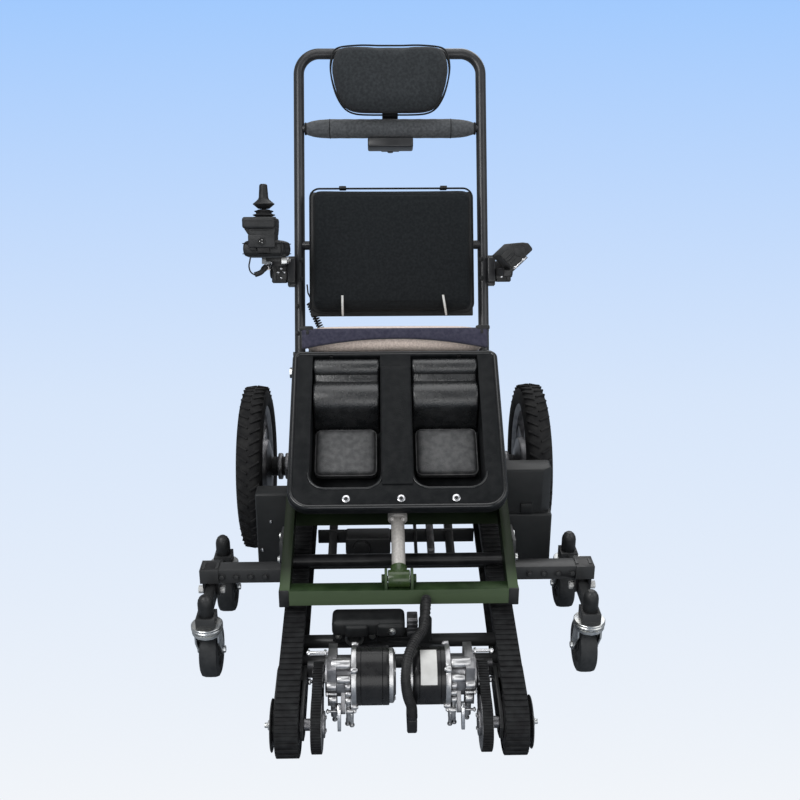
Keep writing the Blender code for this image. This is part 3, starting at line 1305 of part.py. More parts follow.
def armrest(name, side, at, size, roll, bar_up, shelf_in):
    """A knuckle on the stub, with a bar and a block that carry the pad."""
    frame = empty(f"arm_{name}_pivot", ARM_PIVOT_AHEAD, ARM_PIVOT_V, -ARM_TILT, BACK)
    middle, height = at
    wide, thick = size
    low = height - thick / 2
    inner = middle - wide / 2
    centre = Vector((side * middle, 0, height))

    def rolled(thing):
        """Turns a solid about the pad's long centre line, with its outer edge up."""
        turn = Matrix.Translation(centre) @ Matrix.Rotation(-side * roll, 4, "Y") @ Matrix.Translation(-centre)
        thing.data.transform(turn)
        return thing

    knuckle = box(span(side, ARM_IN, ARM_IN + KNUCKLE_W), KNUCKLE_AHEAD, KNUCKLE_UP, 0.003)
    bar = box(span(side, ARM_IN, ARM_IN + ARM_BAR_W), (KNUCKLE_AHEAD[0] + 0.002, ARM_BAR_L), bar_up, 0.002)
    shelf = rolled(box(span(side, inner + shelf_in, inner + SHELF_W),
                       (PAD_START + 0.008, PAD_START + 0.008 + SHELF_L), (low - SHELF_T, low - GAP)))
    pad = rolled(rounded(span(side, inner, inner + wide), (PAD_START, PAD_END), (low, low + thick),
                         0.001, 0.010, 0.001))
    bore = across(span(side, ARM_IN - 0.01, ARM_IN + KNUCKLE_W - 0.009), (0, 0), ARM_STUB_R + GAP)
    part(f"arm_{name}", cut(joined(knuckle, bar, shelf), bore), BLACK, frame)
    part(f"arm_pad_{name}", pad, VINYL, frame)
    return frame, pad


LEFT_ARM, LEFT_PAD = armrest("left", -1, LEFT_PAD_AT, LEFT_PAD_SIZE, 0.0, LEFT_BAR_UP, 0.016)
armrest("right", 1, RIGHT_PAD_AT, RIGHT_PAD_SIZE, RIGHT_ROLL, RIGHT_BAR_UP, 0.001)

# Joystick controller on the left pad
PAD_TOP = max(v.co.z for v in LEFT_PAD.data.vertices)
CTRL_BASE = PAD_TOP + GAP
CTRL_TOP = CTRL_BASE + NECK_H + CONTROLLER_H
STICK_PIVOT_UP = CTRL_TOP - 0.006
SOCKET_R = 0.0085


def controller():
    """A control box on a narrower neck, with a round socket in front and a recess for the stick."""
    x = -CONTROLLER_X
    ahead = (CONTROLLER_END - CONTROLLER_L, CONTROLLER_END)
    front = PAD_END + GAP + APRON_T
    neck_x = (-NECK_X - NECK_W / 2, -NECK_X + NECK_W / 2)
    top = box((x - CONTROLLER_W / 2, x + CONTROLLER_W / 2), ahead, (CTRL_BASE + NECK_H, CTRL_TOP), 0.005)
    neck = box((neck_x[0] + RUN, neck_x[1] - RUN), (ahead[0] + 0.010, front - RUN),
               (CTRL_BASE, CTRL_BASE + NECK_H + 0.006), 0.003)
    apron = box(neck_x, (PAD_END + GAP, front), (CTRL_BASE - APRON_DROP, CTRL_BASE + 0.012), 0.003)
    socket_up = CTRL_BASE - 0.003
    socket = rod((-NECK_X, front - 0.004, socket_up), (-NECK_X, front + 0.003, socket_up), SOCKET_R, 20)
    well = rod((-STICK_X, STICK_AHEAD, CTRL_TOP - 0.012), (-STICK_X, STICK_AHEAD, CTRL_TOP + 0.01),
               BOOT_R + 0.002, 16)
    return cut(joined(top, neck, apron, socket), well)


part("controller", controller(), PLASTIC, LEFT_ARM)
STICK_SPOT = (-STICK_X, STICK_AHEAD, STICK_PIVOT_UP)


def gaiter():
    """The ribbed rubber boot under the stick's skirt."""
    low = CTRL_TOP - 0.0117
    profile = [(0.013, low), (BOOT_R, low + 0.008), (BOOT_R - 0.003, low + 0.0125),
               (BOOT_R + 0.0035, low + 0.0165), (BOOT_R - 0.0042, low + 0.0200), (BOOT_R, low + 0.0245),
               (0.0125, low + 0.0280), (0.007, low + 0.0290)]
    boot = turned_up(profile, -STICK_X, STICK_AHEAD, 12)
    bore = rod((-STICK_X, STICK_AHEAD, low - 0.01), (-STICK_X, STICK_AHEAD, low + 0.05), STICK_R + GAP)
    return cut(boot, bore)


part("joystick_gaiter", moved_origin(gaiter(), STICK_SPOT), RUBBER, LEFT_ARM)


def joystick():
    """A stick with a cone-shaped skirt and a tall knob."""
    base = CTRL_TOP + 0.0178
    profile = [(STICK_R, CTRL_TOP - 0.010), (STICK_R, base), (0.012, base), (SKIRT_R - 0.001, base + 0.0088),
               (SKIRT_R, base + 0.0098), (SKIRT_R - 0.0015, base + 0.0112), (0.0115, base + 0.0205),
               (0.0099, base + 0.0240), (KNOB_R, base + 0.0490), (0.0070, base + 0.0520),
               (0.002, base + 0.0530)]
    return turned_up(profile, -STICK_X, STICK_AHEAD)


part("joystick", moved_origin(joystick(), STICK_SPOT), PLASTIC, LEFT_ARM)

# Controller lead: out under the pad, one loop, then along the bar to the knuckle
LEAD_ROUTE = [
    (-0.3060, 0.2050, 0.0277),
    (-0.3075, 0.2060, 0.0200),
    (-0.3095, 0.2065, 0.0080),
    (-0.3060, 0.2060, -0.0040),
    (-0.2960, 0.2040, -0.0100),
    (-0.2855, 0.2000, -0.0050),
    (-0.2790, 0.1920, 0.0030),
    (-0.2745, 0.1760, 0.0090),
    (-0.2725, 0.1550, 0.0110),
    (-0.2710, 0.1000, 0.0110),
    (-0.2700, 0.0400, 0.0090),
    (-0.2690, 0.0088, 0.0080),
]
part("controller_lead", wire(smooth_route(LEAD_ROUTE, 2), LEAD_R), PLASTIC, LEFT_ARM)

# Curly cord between the back tube and the seat frame's gland
CORD_TOP = [(-0.2005, 0.0, 0.1650), (-0.1985, 0.0, 0.1450)]
CORD_COIL = [(-0.1950, 0.0, 0.1220), (-0.1850, -0.002, 0.0960), (-0.1740, -0.004, 0.0720),
             (-0.1640, -0.004, 0.0500)]
CORD_FOOT = [(-0.1520, -0.001, 0.0240), (-0.1500, 0.0, 0.0043)]


def curly_cord():
    """A straight lead, a helix along a bowed line, and a straight lead again."""
    axis = [Vector(p) for p in smooth_route(CORD_COIL, 40)]
    lengths = [0.0]
    for a, b in zip(axis, axis[1:]):
        lengths.append(lengths[-1] + (b - a).length)
    curls = round(lengths[-1] / CURL_PITCH)
    points = [Vector(p) for p in CORD_TOP]
    place = 0
    for i in range(curls * CURL_POINTS + 1):
        distance = lengths[-1] * i / (curls * CURL_POINTS)
        while place < len(axis) - 2 and lengths[place + 1] < distance:
            place += 1
        heading = (axis[place + 1] - axis[place]).normalized()
        spot = axis[place] + heading * (distance - lengths[place])
        side = heading.cross(Vector((0, 1, 0))).normalized()
        front = side.cross(heading)
        angle = 2 * math.pi * i / CURL_POINTS
        points.append(spot + CURL_R * (side * math.cos(angle) + front * math.sin(angle)))
    points += [Vector(p) for p in CORD_FOOT]
    return points


def least_gap(points, radius, skip):
    """Least distance between the surfaces of stretches that aren't neighbours."""
    least = math.inf
    for i, a in enumerate(points):
        for b in points[i + skip:]:
            least = min(least, (a - b).length - 2 * radius)
    return least


cord_points = curly_cord()
cord_gap = least_gap(cord_points, CORD_R, CURL_POINTS - 2)
print("curly cord, least gap to itself, mm:", round(1000 * cord_gap, 2))
part("curly_cord", wire([tuple(p) for p in cord_points], CORD_R, 1), RUBBER, BACK)

for leftover in list(CUTTERS.objects):
    bpy.data.objects.remove(leftover, do_unlink=True)
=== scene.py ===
"""Stair climbing wheelchair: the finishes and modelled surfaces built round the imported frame."""

import json
import math

import bpy
from mathutils import Matrix, Vector


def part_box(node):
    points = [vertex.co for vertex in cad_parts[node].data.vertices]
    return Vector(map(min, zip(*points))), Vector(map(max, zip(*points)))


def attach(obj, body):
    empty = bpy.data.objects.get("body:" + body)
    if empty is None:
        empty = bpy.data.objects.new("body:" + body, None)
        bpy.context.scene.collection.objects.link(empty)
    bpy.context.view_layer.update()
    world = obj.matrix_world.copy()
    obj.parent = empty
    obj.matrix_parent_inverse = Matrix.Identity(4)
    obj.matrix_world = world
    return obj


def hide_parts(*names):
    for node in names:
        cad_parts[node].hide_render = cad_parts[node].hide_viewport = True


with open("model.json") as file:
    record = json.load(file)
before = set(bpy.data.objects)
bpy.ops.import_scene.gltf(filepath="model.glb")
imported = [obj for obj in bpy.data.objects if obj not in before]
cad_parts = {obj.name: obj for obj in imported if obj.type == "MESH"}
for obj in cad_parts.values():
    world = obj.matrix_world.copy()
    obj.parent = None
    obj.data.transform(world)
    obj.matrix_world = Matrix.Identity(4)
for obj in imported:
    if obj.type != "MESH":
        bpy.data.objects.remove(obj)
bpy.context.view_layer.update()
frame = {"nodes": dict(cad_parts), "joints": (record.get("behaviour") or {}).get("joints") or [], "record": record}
NODES = frame["nodes"]
BEHAVIOUR = frame["record"]["behaviour"]
BODY_OF = {node: body for body, members in BEHAVIOUR["bodies"].items() for node in members}
SLOT_OF = {entry["node"]: entry["material_slot"] for entry in frame["record"]["subparts"]}
SPOT = {joint["name"]: Vector(joint["pos_m"]) for joint in frame["joints"] if "pos_m" in joint}
SIDES = {"left": -1, "right": 1}

# Lean of each upright frame, and of the belts' line between their drums
BACK_LEAN = math.radians(22.85)
SEAT_TILT = math.radians(20.0)
TRAY_SLOPE = math.radians(37.9)
drum_line = SPOT["front_drum_left_spin"] - SPOT["rear_drum_left_spin"]
RISE = math.atan2(-drum_line.z, -drum_line.y)
DRUM_SPAN = math.hypot(drum_line.y, drum_line.z)


def leaned(spot, lean):
    """A frame at a joint whose -Y points ahead and +Z up, leaned back about X."""
    return Matrix.Translation((0, spot.y, spot.z)) @ Matrix.Rotation(-lean, 4, "X")


AXLE = Matrix.Translation((0, SPOT["rear_wheel_left_spin"].y, 0))
BACK = leaned(SPOT["back_recline"], BACK_LEAN)
SEAT = leaned(SPOT["back_recline"], SEAT_TILT)
TRAY = leaned(SPOT["leg_tray_lift"], -TRAY_SLOPE)
TRACK = leaned(SPOT["rear_drum_left_spin"], -RISE)
CRAWLER = leaned(SPOT["rear_drum_left_spin"], 0.0)

# Camera at the photograph's viewing place
CAMERA_X = -0.034
CAMERA_AHEAD = 2.09
CAMERA_Z = 1.134
CAMERA_PITCH = math.radians(20.7)
CAMERA_YAW = math.radians(1.33)
LENS = 45.0
SENSOR = 36.0
SKY_LOW = (0.88, 0.91, 0.95, 1)
SKY_MIDDLE = (0.68, 0.79, 0.96, 1)
SKY_HIGH = (0.36, 0.59, 0.99, 1)


def add_node(tree, kind, wires=None, **settings):
    """A shader node with its settings, and its inputs set to values or joined to sockets."""
    node = tree.nodes.new(f"ShaderNode{kind}")
    for key, value in settings.items():
        setattr(node, key, value)
    for key, value in (wires or {}).items():
        if isinstance(value, bpy.types.NodeSocket):
            tree.links.new(value, node.inputs[key])
        else:
            node.inputs[key].default_value = value
    return node


def area_lamp(name, energy, size, at, aim):
    data = bpy.data.lights.new(name, "AREA")
    data.energy = energy
    data.size = size
    lamp = bpy.data.objects.new(name, data)
    lamp.location = at
    lamp.rotation_euler = (Vector(aim) - Vector(at)).to_track_quat("-Z", "Y").to_euler()
    bpy.context.scene.collection.objects.link(lamp)


def studio():
    """Camera, lamps, a floor that only bounces light, and a blue surround that pales downward."""
    scene = bpy.context.scene
    data = bpy.data.cameras.new("camera")
    data.lens = LENS
    data.sensor_width = SENSOR
    camera = bpy.data.objects.new("camera", data)
    camera.location = (CAMERA_X, AXLE.translation.y - CAMERA_AHEAD, CAMERA_Z)
    camera.rotation_euler = (math.pi / 2 - CAMERA_PITCH, 0, -CAMERA_YAW)
    scene.collection.objects.link(camera)
    scene.camera = camera
    scene.view_settings.view_transform = "Standard"
    area_lamp("key", 46, 1.6, (-1.6, -1.9, 2.5), (0, 0, 0.5))
    area_lamp("fill", 22, 2.2, (2.2, -1.4, 1.7), (0, 0, 0.5))
    area_lamp("low", 12, 1.4, (0.2, -2.4, 0.5), (0, -0.3, 0.25))
    area_lamp("back", 22, 1.8, (0.6, 2.2, 2.2), (0, 0.2, 0.6))
    area_lamp("above", 15, 1.7, (0, 0.25, 2.5), (0, -0.2, 0.4))
    scene.world = bpy.data.worlds.new("surround")
    scene.world.use_nodes = True
    tree = scene.world.node_tree
    tree.nodes.clear()
    place = add_node(tree, "TexCoord").outputs["Window"]
    up = add_node(tree, "SeparateXYZ", {"Vector": place}).outputs["Y"]
    sky = add_node(tree, "ValToRGB", {"Fac": up})
    sky.color_ramp.elements[0].color = SKY_LOW
    sky.color_ramp.elements[1].color = SKY_HIGH
    sky.color_ramp.elements.new(0.5).color = SKY_MIDDLE
    shown = add_node(tree, "Background", {"Color": sky.outputs["Color"]})
    light = add_node(tree, "Background", {"Color": (0.93, 0.96, 1.0, 1), "Strength": 0.34})
    seen = add_node(tree, "LightPath").outputs["Is Camera Ray"]
    mix = add_node(tree, "MixShader", {"Fac": seen, 1: light.outputs[0], 2: shown.outputs[0]})
    add_node(tree, "OutputWorld", {"Surface": mix.outputs[0]})
    bpy.ops.mesh.primitive_plane_add(size=14, location=(0, 3, -0.0004))
    floor = bpy.context.object
    floor.name = "floor"
    paint = bpy.data.materials.new("floor_paint")
    paint.use_nodes = True
    tree = paint.node_tree
    shader = tree.nodes["Principled BSDF"]
    shader.inputs["Base Color"].default_value = (0.3, 0.33, 0.37, 1)
    shader.inputs["Roughness"].default_value = 0.9
    gone = add_node(tree, "BsdfTransparent").outputs[0]
    seen = add_node(tree, "LightPath").outputs["Is Camera Ray"]
    either = add_node(tree, "MixShader", {"Fac": seen, 1: shader.outputs[0], 2: gone})
    tree.links.new(either.outputs[0], tree.nodes["Material Output"].inputs["Surface"])
    floor.data.materials.append(paint)


studio()


# Finishes, each with the material slot that it stands for
FINISH_OF = {}


def finish(name, slot, colour, second, roughness, mottle, grain, depth, metallic=0.0, spread=0.08, sheen=0.0,
        coat=0.0, stretch=(1, 1, 1), worn=None, shine=0.5, painted_shade=None):
    """A Principled material with patchy colour, uneven roughness and a fine relief on Object coordinates,
    optionally with painted shade that darkens its colour along Object Y.
    """
    made = bpy.data.materials.new(name)
    made.use_nodes = True
    tree = made.node_tree
    shader = tree.nodes["Principled BSDF"]
    for key, value in (("Metallic", metallic), ("Sheen Weight", sheen), ("Coat Weight", coat),
            ("Specular IOR Level", shine)):
        shader.inputs[key].default_value = value
    place = add_node(tree, "TexCoord").outputs["Object"]
    at = add_node(tree, "Mapping", {"Scale": stretch, "Vector": place}).outputs["Vector"]
    patch = add_node(tree, "TexNoise", {"Scale": mottle, "Detail": 5, "Vector": at}).outputs["Fac"]
    ramp = add_node(tree, "ValToRGB", {"Fac": patch})
    for stop, position, tone in zip(ramp.color_ramp.elements, (0.375, 0.675), (colour, second)):
        stop.position = position
        stop.color = (*tone, 1)
    tint = ramp.outputs["Color"]
    if worn:
        edge = add_node(tree, "NewGeometry").outputs["Pointiness"]
        keep = add_node(tree, "MapRange", {"From Min": 0.515, "From Max": 0.56, "Value": edge})
        tint = add_node(tree, "Mix", {"B": (*worn, 1), "Factor": keep.outputs["Result"], "A": tint},
            data_type="RGBA").outputs["Result"]
    # Painted shade: the base colour is scaled from 1 down to the third value along Object Y, standing in for
    # shadow toward the rear
    if painted_shade:
        along = add_node(tree, "SeparateXYZ", {"Vector": place}).outputs["Y"]
        shade_scale = add_node(tree, "MapRange", {"From Min": painted_shade[0], "From Max": painted_shade[1], "To Min": 1.0,
            "To Max": painted_shade[2], "Value": along}).outputs["Result"]
        tint = add_node(tree, "VectorMath", {0: tint, "Scale": shade_scale}, operation="SCALE").outputs["Vector"]
    tree.links.new(tint, shader.inputs["Base Color"])
    rough = add_node(tree, "MapRange", {"To Min": max(0.03, roughness - spread),
        "To Max": min(1.0, roughness + spread), "Value": patch})
    tree.links.new(rough.outputs["Result"], shader.inputs["Roughness"])
    relief = add_node(tree, "Bump", {"Distance": depth, "Strength": 1.0, "Height": grain(tree, at)})
    tree.links.new(relief.outputs["Normal"], shader.inputs["Normal"])
    FINISH_OF.setdefault(slot, made)
    return made


def noise_grain(scale):
    return lambda tree, at: add_node(tree, "TexNoise", {"Scale": scale, "Detail": 4,
        "Vector": at}).outputs["Fac"]


def cell_grain(scale):
    """Rounded pebbles."""
    def build(tree, at):
        cells = add_node(tree, "TexVoronoi", {"Scale": scale, "Vector": at}, feature="SMOOTH_F1")
        return add_node(tree, "Math", {0: 1.0, 1: cells.outputs["Distance"]},
            operation="SUBTRACT").outputs["Value"]
    return build


def weave_grain(scale):
    """Crossing threads along X and up the cloth."""
    def build(tree, at):
        threads = [add_node(tree, "TexWave", {"Scale": scale, "Distortion": 0.6, "Detail Scale": 3.0,
            "Vector": at}, wave_type="BANDS", bands_direction=way).outputs["Fac"] for way in ("X", "Z")]
        return add_node(tree, "Math", dict(enumerate(threads)), operation="MAXIMUM").outputs["Value"]
    return build


RUBBER = finish("tyre_rubber", "tyre_rubber", (0.01, 0.01, 0.011), (0.024, 0.024, 0.024), 0.78, 55,
    noise_grain(900), 0.0002, shine=0.25)
BELT_RUBBER = finish("belt_rubber", "belt_rubber", (0.007, 0.007, 0.008), (0.017, 0.018, 0.019), 0.66, 70,
    noise_grain(700), 0.0002, shine=0.2)
CASTER_RUBBER = finish("caster_rubber", "caster_rubber", (0.018, 0.02, 0.022), (0.03, 0.032, 0.034), 0.55, 80,
    noise_grain(800), 0.0001, shine=0.35)
ALLOY = finish("cast_alloy", "cast_alloy", (0.19, 0.19, 0.2), (0.36, 0.36, 0.37), 0.42, 45, noise_grain(420),
    0.0004, metallic=1.0)
STEEL = finish("bright_steel", "bright_steel", (0.6, 0.61, 0.63), (0.78, 0.78, 0.8), 0.24, 25,
    noise_grain(260), 0.00005, metallic=1.0, stretch=(1, 1, 12), spread=0.1)
ZINC = finish("zinc_plate", "zinc_steel", (0.48, 0.5, 0.52), (0.7, 0.7, 0.67), 0.3, 75, noise_grain(500),
    0.0001, metallic=1.0)
BLACK = finish("black_enamel", "black_paint", (0.007, 0.007, 0.008), (0.014, 0.014, 0.015), 0.34, 50,
    noise_grain(380), 0.00008, worn=(0.035, 0.036, 0.037), shine=0.3)
MOTOR_BLACK = finish("motor_enamel", "motor_paint", (0.006, 0.006, 0.007), (0.012, 0.012, 0.013), 0.28, 60,
    noise_grain(420), 0.0001, coat=0.1, shine=0.35)
finish("box_powder_coat", "box_paint", (0.008, 0.009, 0.01), (0.016, 0.017, 0.018), 0.45, 45,
    noise_grain(1100), 0.00012, worn=(0.035, 0.037, 0.038), shine=0.3)
# Green frame enamel: painted shade darkens the base colour behind Y -0.385 to a quarter by Y -0.345, standing in
# for shadow on the rails and rear bar
finish("olive_enamel", "olive_paint", (0.014, 0.029, 0.01), (0.026, 0.048, 0.018), 0.38, 35, noise_grain(300),
    0.0001, worn=(0.07, 0.1, 0.055), shine=0.15, painted_shade=(-0.385, -0.345, 0.25))
SOCKET_OLIVE = finish("olive_socket_enamel", "olive_paint", (0.022, 0.044, 0.01), (0.04, 0.072, 0.02), 0.3,
    60, noise_grain(300), 0.0001, coat=0.2)
BRIGHT_ALLOY = finish("machined_alloy", "cast_alloy", (0.44, 0.44, 0.45), (0.68, 0.68, 0.68), 0.34, 40,
    noise_grain(320), 0.0003, metallic=1.0, spread=0.14)
BRUSHED = finish("brushed_tube", "bright_steel", (0.42, 0.4, 0.38), (0.54, 0.52, 0.49), 0.42, 30,
    noise_grain(300), 0.00006, metallic=0.25, stretch=(8, 8, 1))
BACK_PAINT = finish("back_tube_enamel", "back_tube_paint", (0.018, 0.019, 0.021), (0.03, 0.031, 0.034), 0.34,
    30, noise_grain(420), 0.00008, coat=0.1, shine=0.45)
PLASTIC = finish("black_plastic", "black_plastic", (0.011, 0.012, 0.013), (0.02, 0.021, 0.022), 0.48, 60,
    noise_grain(1300), 0.0001, shine=0.35)
CONTROL_PLASTIC = finish("controller_plastic", "controller_plastic", (0.018, 0.019, 0.02),
    (0.028, 0.029, 0.031), 0.45, 90, noise_grain(1800), 0.00015, shine=0.35)
BOOT = finish("boot_rubber", "boot_rubber", (0.012, 0.012, 0.013), (0.024, 0.024, 0.025), 0.6, 90,
    noise_grain(900), 0.0001, shine=0.3)
JACKET = finish("cord_jacket", "cord_jacket", (0.008, 0.008, 0.009), (0.018, 0.018, 0.019), 0.42, 90,
    noise_grain(900), 0.00005, shine=0.35)
SLEEVE = finish("cable_sleeve", "cable_sleeve", (0.012, 0.012, 0.013), (0.024, 0.024, 0.025), 0.5, 80,
    noise_grain(1200), 0.00008, shine=0.35)
TRAY_VINYL = finish("tray_vinyl", "tray_vinyl", (0.007, 0.008, 0.009), (0.013, 0.014, 0.015), 0.42, 60,
    cell_grain(520), 0.00035, shine=0.1)
ROLL_VINYL = finish("roll_vinyl", "tray_vinyl", (0.009, 0.01, 0.011), (0.018, 0.019, 0.02), 0.27, 60,
    cell_grain(560), 0.00045, shine=0.75)
RIM_VINYL = finish("rim_vinyl", "tray_vinyl", (0.007, 0.008, 0.009), (0.012, 0.013, 0.014), 0.18, 40,
    noise_grain(240), 0.0002, coat=0.25, shine=0.4)
FOOT_PAD = finish("foot_pad_vinyl", "tray_vinyl", (0.05, 0.051, 0.053), (0.095, 0.096, 0.098), 0.48, 90,
    cell_grain(620), 0.0005)
PAD_VINYL = finish("arm_pad_vinyl", "pad_vinyl", (0.014, 0.015, 0.016), (0.026, 0.027, 0.028), 0.42, 70,
    cell_grain(800), 0.00025, shine=0.35)
BACK_CLOTH = finish("back_cloth", "back_cloth", (0.008, 0.01, 0.012), (0.015, 0.018, 0.02), 0.92, 180,
    weave_grain(260), 0.0003, sheen=0.03, shine=0.2)
HEAD_CLOTH = finish("headrest_cloth", "bolster_cloth", (0.021, 0.024, 0.027), (0.036, 0.041, 0.045), 0.92,
    160, weave_grain(230), 0.0003, sheen=0.1, shine=0.2)
BOLSTER_CLOTH = finish("charcoal_cloth", "bolster_cloth", (0.06, 0.065, 0.07), (0.104, 0.11, 0.118), 0.9, 160,
    weave_grain(230), 0.0003, sheen=0.2, shine=0.25)
SEAT_MESH = finish("seat_mesh", "seat_cloth", (0.64, 0.53, 0.47), (0.88, 0.76, 0.68), 0.95, 260,
    cell_grain(420), 0.001, sheen=0.2, shine=0.2)
NAVY = finish("navy_cloth", "seat_cloth", (0.034, 0.034, 0.058), (0.06, 0.058, 0.088), 0.88, 160,
    weave_grain(220), 0.0003, sheen=0.15, shine=0.2)
BINDING = finish("black_binding", "back_cloth", (0.008, 0.009, 0.01), (0.016, 0.017, 0.018), 0.75, 200,
    weave_grain(500), 0.0002, shine=0.3)
LABEL = finish("label_plate", "zinc_steel", (0.56, 0.56, 0.54), (0.66, 0.66, 0.64), 0.38, 50,
    noise_grain(300), 0.00003)
PALE = finish("pale_nylon", "zinc_steel", (0.62, 0.63, 0.62), (0.74, 0.74, 0.72), 0.45, 60, noise_grain(500),
    0.0001)


# Modelling helpers: local points are (x, ahead, up), with ahead along -Y
FORWARD = (0, 1, 0)


def point(x, ahead, up):
    return Vector((x, -ahead, up))


def clear():
    bpy.ops.object.select_all(action="DESELECT")


def pick(*pieces):
    clear()
    for piece in pieces:
        piece.select_set(True)
    bpy.context.view_layer.objects.active = pieces[0]


def edit(piece, *steps):
    """Runs edit mode operators, each on all of a piece."""
    pick(piece)
    bpy.ops.object.mode_set(mode="EDIT")
    for step in steps:
        bpy.ops.mesh.select_all(action="SELECT")
        step()
    bpy.ops.object.mode_set(mode="OBJECT")
    return piece


def merge(reach):
    return lambda: bpy.ops.mesh.remove_doubles(threshold=reach)


def face_out():
    bpy.ops.mesh.normals_make_consistent(inside=False)


def raise_by(move, edges=False):
    """Extrudes the faces, or the loose edges, by a move."""
    way = bpy.ops.mesh.extrude_edges_move if edges else bpy.ops.mesh.extrude_region_move
    return lambda: way(TRANSFORM_OT_translate={"value": move})


def use(piece, kind, **settings):
    """Adds a modifier with its settings and applies it."""
    modifier = piece.modifiers.new(kind.lower(), kind)
    for key, value in settings.items():
        setattr(modifier, key, value)
    pick(piece)
    bpy.ops.object.modifier_apply(modifier=modifier.name)
    return piece


def edged(piece, width, segments=2, angle=30):
    return use(piece, "BEVEL", width=width, segments=segments, limit_method="ANGLE",
        angle_limit=math.radians(angle), use_clamp_overlap=True)


def softened(piece, levels=2):
    return use(piece, "SUBSURF", levels=levels, render_levels=levels)


def block(x, ahead, up, bevel=0.001, segments=2):
    """A bevelled box between pairs of limits."""
    clear()
    bpy.ops.mesh.primitive_cube_add(size=1.0)
    piece = bpy.context.object
    piece.scale = (x[1] - x[0], ahead[1] - ahead[0], up[1] - up[0])
    piece.location = ((x[0] + x[1]) / 2, -(ahead[0] + ahead[1]) / 2, (up[0] + up[1]) / 2)
    bpy.ops.object.transform_apply(location=True, rotation=True, scale=True)
    return edged(piece, bevel, segments) if bevel else piece


def span(side, inner, outer):
    return tuple(sorted((side * inner, side * outer)))


def pin(start, end, radius, sides=32, bevel=0.0006, end_radius=None):
    """A turned rod or cone between two (x, ahead, up) points, with its ends chamfered."""
    a = point(*start)
    b = point(*end)
    clear()
    bpy.ops.mesh.primitive_cone_add(vertices=sides, radius1=radius, depth=(b - a).length,
        radius2=radius if end_radius is None else end_radius)
    piece = bpy.context.object
    turn = Vector((0, 0, 1)).rotation_difference(b - a).to_matrix().to_4x4()
    piece.data.transform(Matrix.Translation((a + b) / 2) @ turn)
    return edged(piece, bevel, 2, 50) if bevel else piece


def across(x, at, radius, sides=32, bevel=0.0006):
    return pin((x[0], *at), (x[1], *at), radius, sides, bevel)


def turned(profile, start, heading, steps=48):
    """A closed ring of (radius, along) points spun about the line from start along heading."""
    clear()
    bpy.ops.mesh.primitive_circle_add(vertices=len(profile), fill_type="NOTHING")
    piece = bpy.context.object
    for vertex, (radius, along) in zip(piece.data.vertices, profile):
        vertex.co = (radius, 0, along)
    edit(piece, lambda: bpy.ops.mesh.spin(steps=steps, angle=2 * math.pi, center=(0, 0, 0), axis=(0, 0, 1)),
        merge(1e-5), lambda: bpy.ops.mesh.dissolve_degenerate(threshold=1e-6), face_out)
    turn = Vector((0, 0, 1)).rotation_difference(point(*heading)).to_matrix().to_4x4()
    piece.data.transform(Matrix.Translation(point(*start)) @ turn)
    return piece


def outline(points, depth, heading="X"):
    """An outline raised between two limits: (ahead, up) points along X, or (x, ahead) points along Z."""
    clear()
    bpy.ops.mesh.primitive_circle_add(vertices=len(points), fill_type="NGON")
    piece = bpy.context.object
    for vertex, (a, b) in zip(piece.data.vertices, points):
        vertex.co = (depth[0], -a, b) if heading == "X" else (a, -b, depth[0])
    rise = depth[1] - depth[0]
    return edit(piece, raise_by((rise, 0, 0) if heading == "X" else (0, 0, rise)), face_out)


def smooth_route(points, per_span):
    """Catmull-Rom points through a route."""
    places = [Vector(p) for p in points]
    places = [places[0]] + places + [places[-1]]
    route = []
    for i in range(1, len(places) - 2):
        before, a, b, after = places[i - 1:i + 3]
        for step in range(per_span):
            t = step / per_span
            route.append(0.5 * ((2 * a) + (b - before) * t + (2 * before - 5 * a + 4 * b - after) * t * t
                + (3 * a - before - 3 * b + after) * t ** 3))
    route.append(places[-2])
    return route


def tube(points, radius, resolution=4, cyclic=False):
    """A round tube along (x, ahead, up) points, as a closed mesh."""
    data = bpy.data.curves.new("tube", "CURVE")
    data.dimensions = "3D"
    data.bevel_depth = radius
    data.bevel_resolution = resolution
    data.use_fill_caps = not cyclic
    spline = data.splines.new("POLY")
    spline.points.add(len(points) - 1)
    for spot, p in zip(spline.points, points):
        spot.co = (*point(*p), 1)
    spline.use_cyclic_u = cyclic
    piece = bpy.data.objects.new("tube", data)
    bpy.context.scene.collection.objects.link(piece)
    pick(piece)
    bpy.ops.object.convert(target="MESH")
    return edit(bpy.context.object, merge(1e-6))


def copied(piece, matrix):
    other = piece.copy()
    other.data = piece.data.copy()
    bpy.context.scene.collection.objects.link(other)
    other.data.transform(matrix)
    return other


def fused(pieces):
    """Several solids as one object."""
    pick(*pieces)
    if len(pieces) > 1:
        bpy.ops.object.join()
    return bpy.context.view_layer.objects.active


def ready(piece, name, body, material, where=None, angle=38, node=None):
    """Joins, names and places a finished piece, hangs it on its body and hides the node it replaces."""
    if isinstance(piece, list):
        piece = fused(piece)
    if where is not None:
        piece.data.transform(where)
    piece.name = name
    piece.data.name = name
    piece.data.materials.clear()
    piece.data.materials.append(material)
    pick(piece)
    bpy.ops.object.shade_smooth_by_angle(angle=math.radians(angle))
    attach(piece, body)
    if node:
        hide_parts(node)
    return piece


def dressed(node, bevel=0.0008):
    """A merged, edge-softened copy of a CAD node in its own finish."""
    piece = copied(NODES[node], Matrix.Identity(4))
    for key in list(piece.keys()):
        del piece[key]
    piece.parent = None
    edit(piece, merge(2e-6), lambda: bpy.ops.mesh.dissolve_limited(angle_limit=math.radians(1.0)))
    edged(piece, bevel, 2, 34)
    slot = SLOT_OF[node]
    return ready(piece, f"{node}_surface", BODY_OF[node], FINISH_OF[slot], angle=36, node=node)


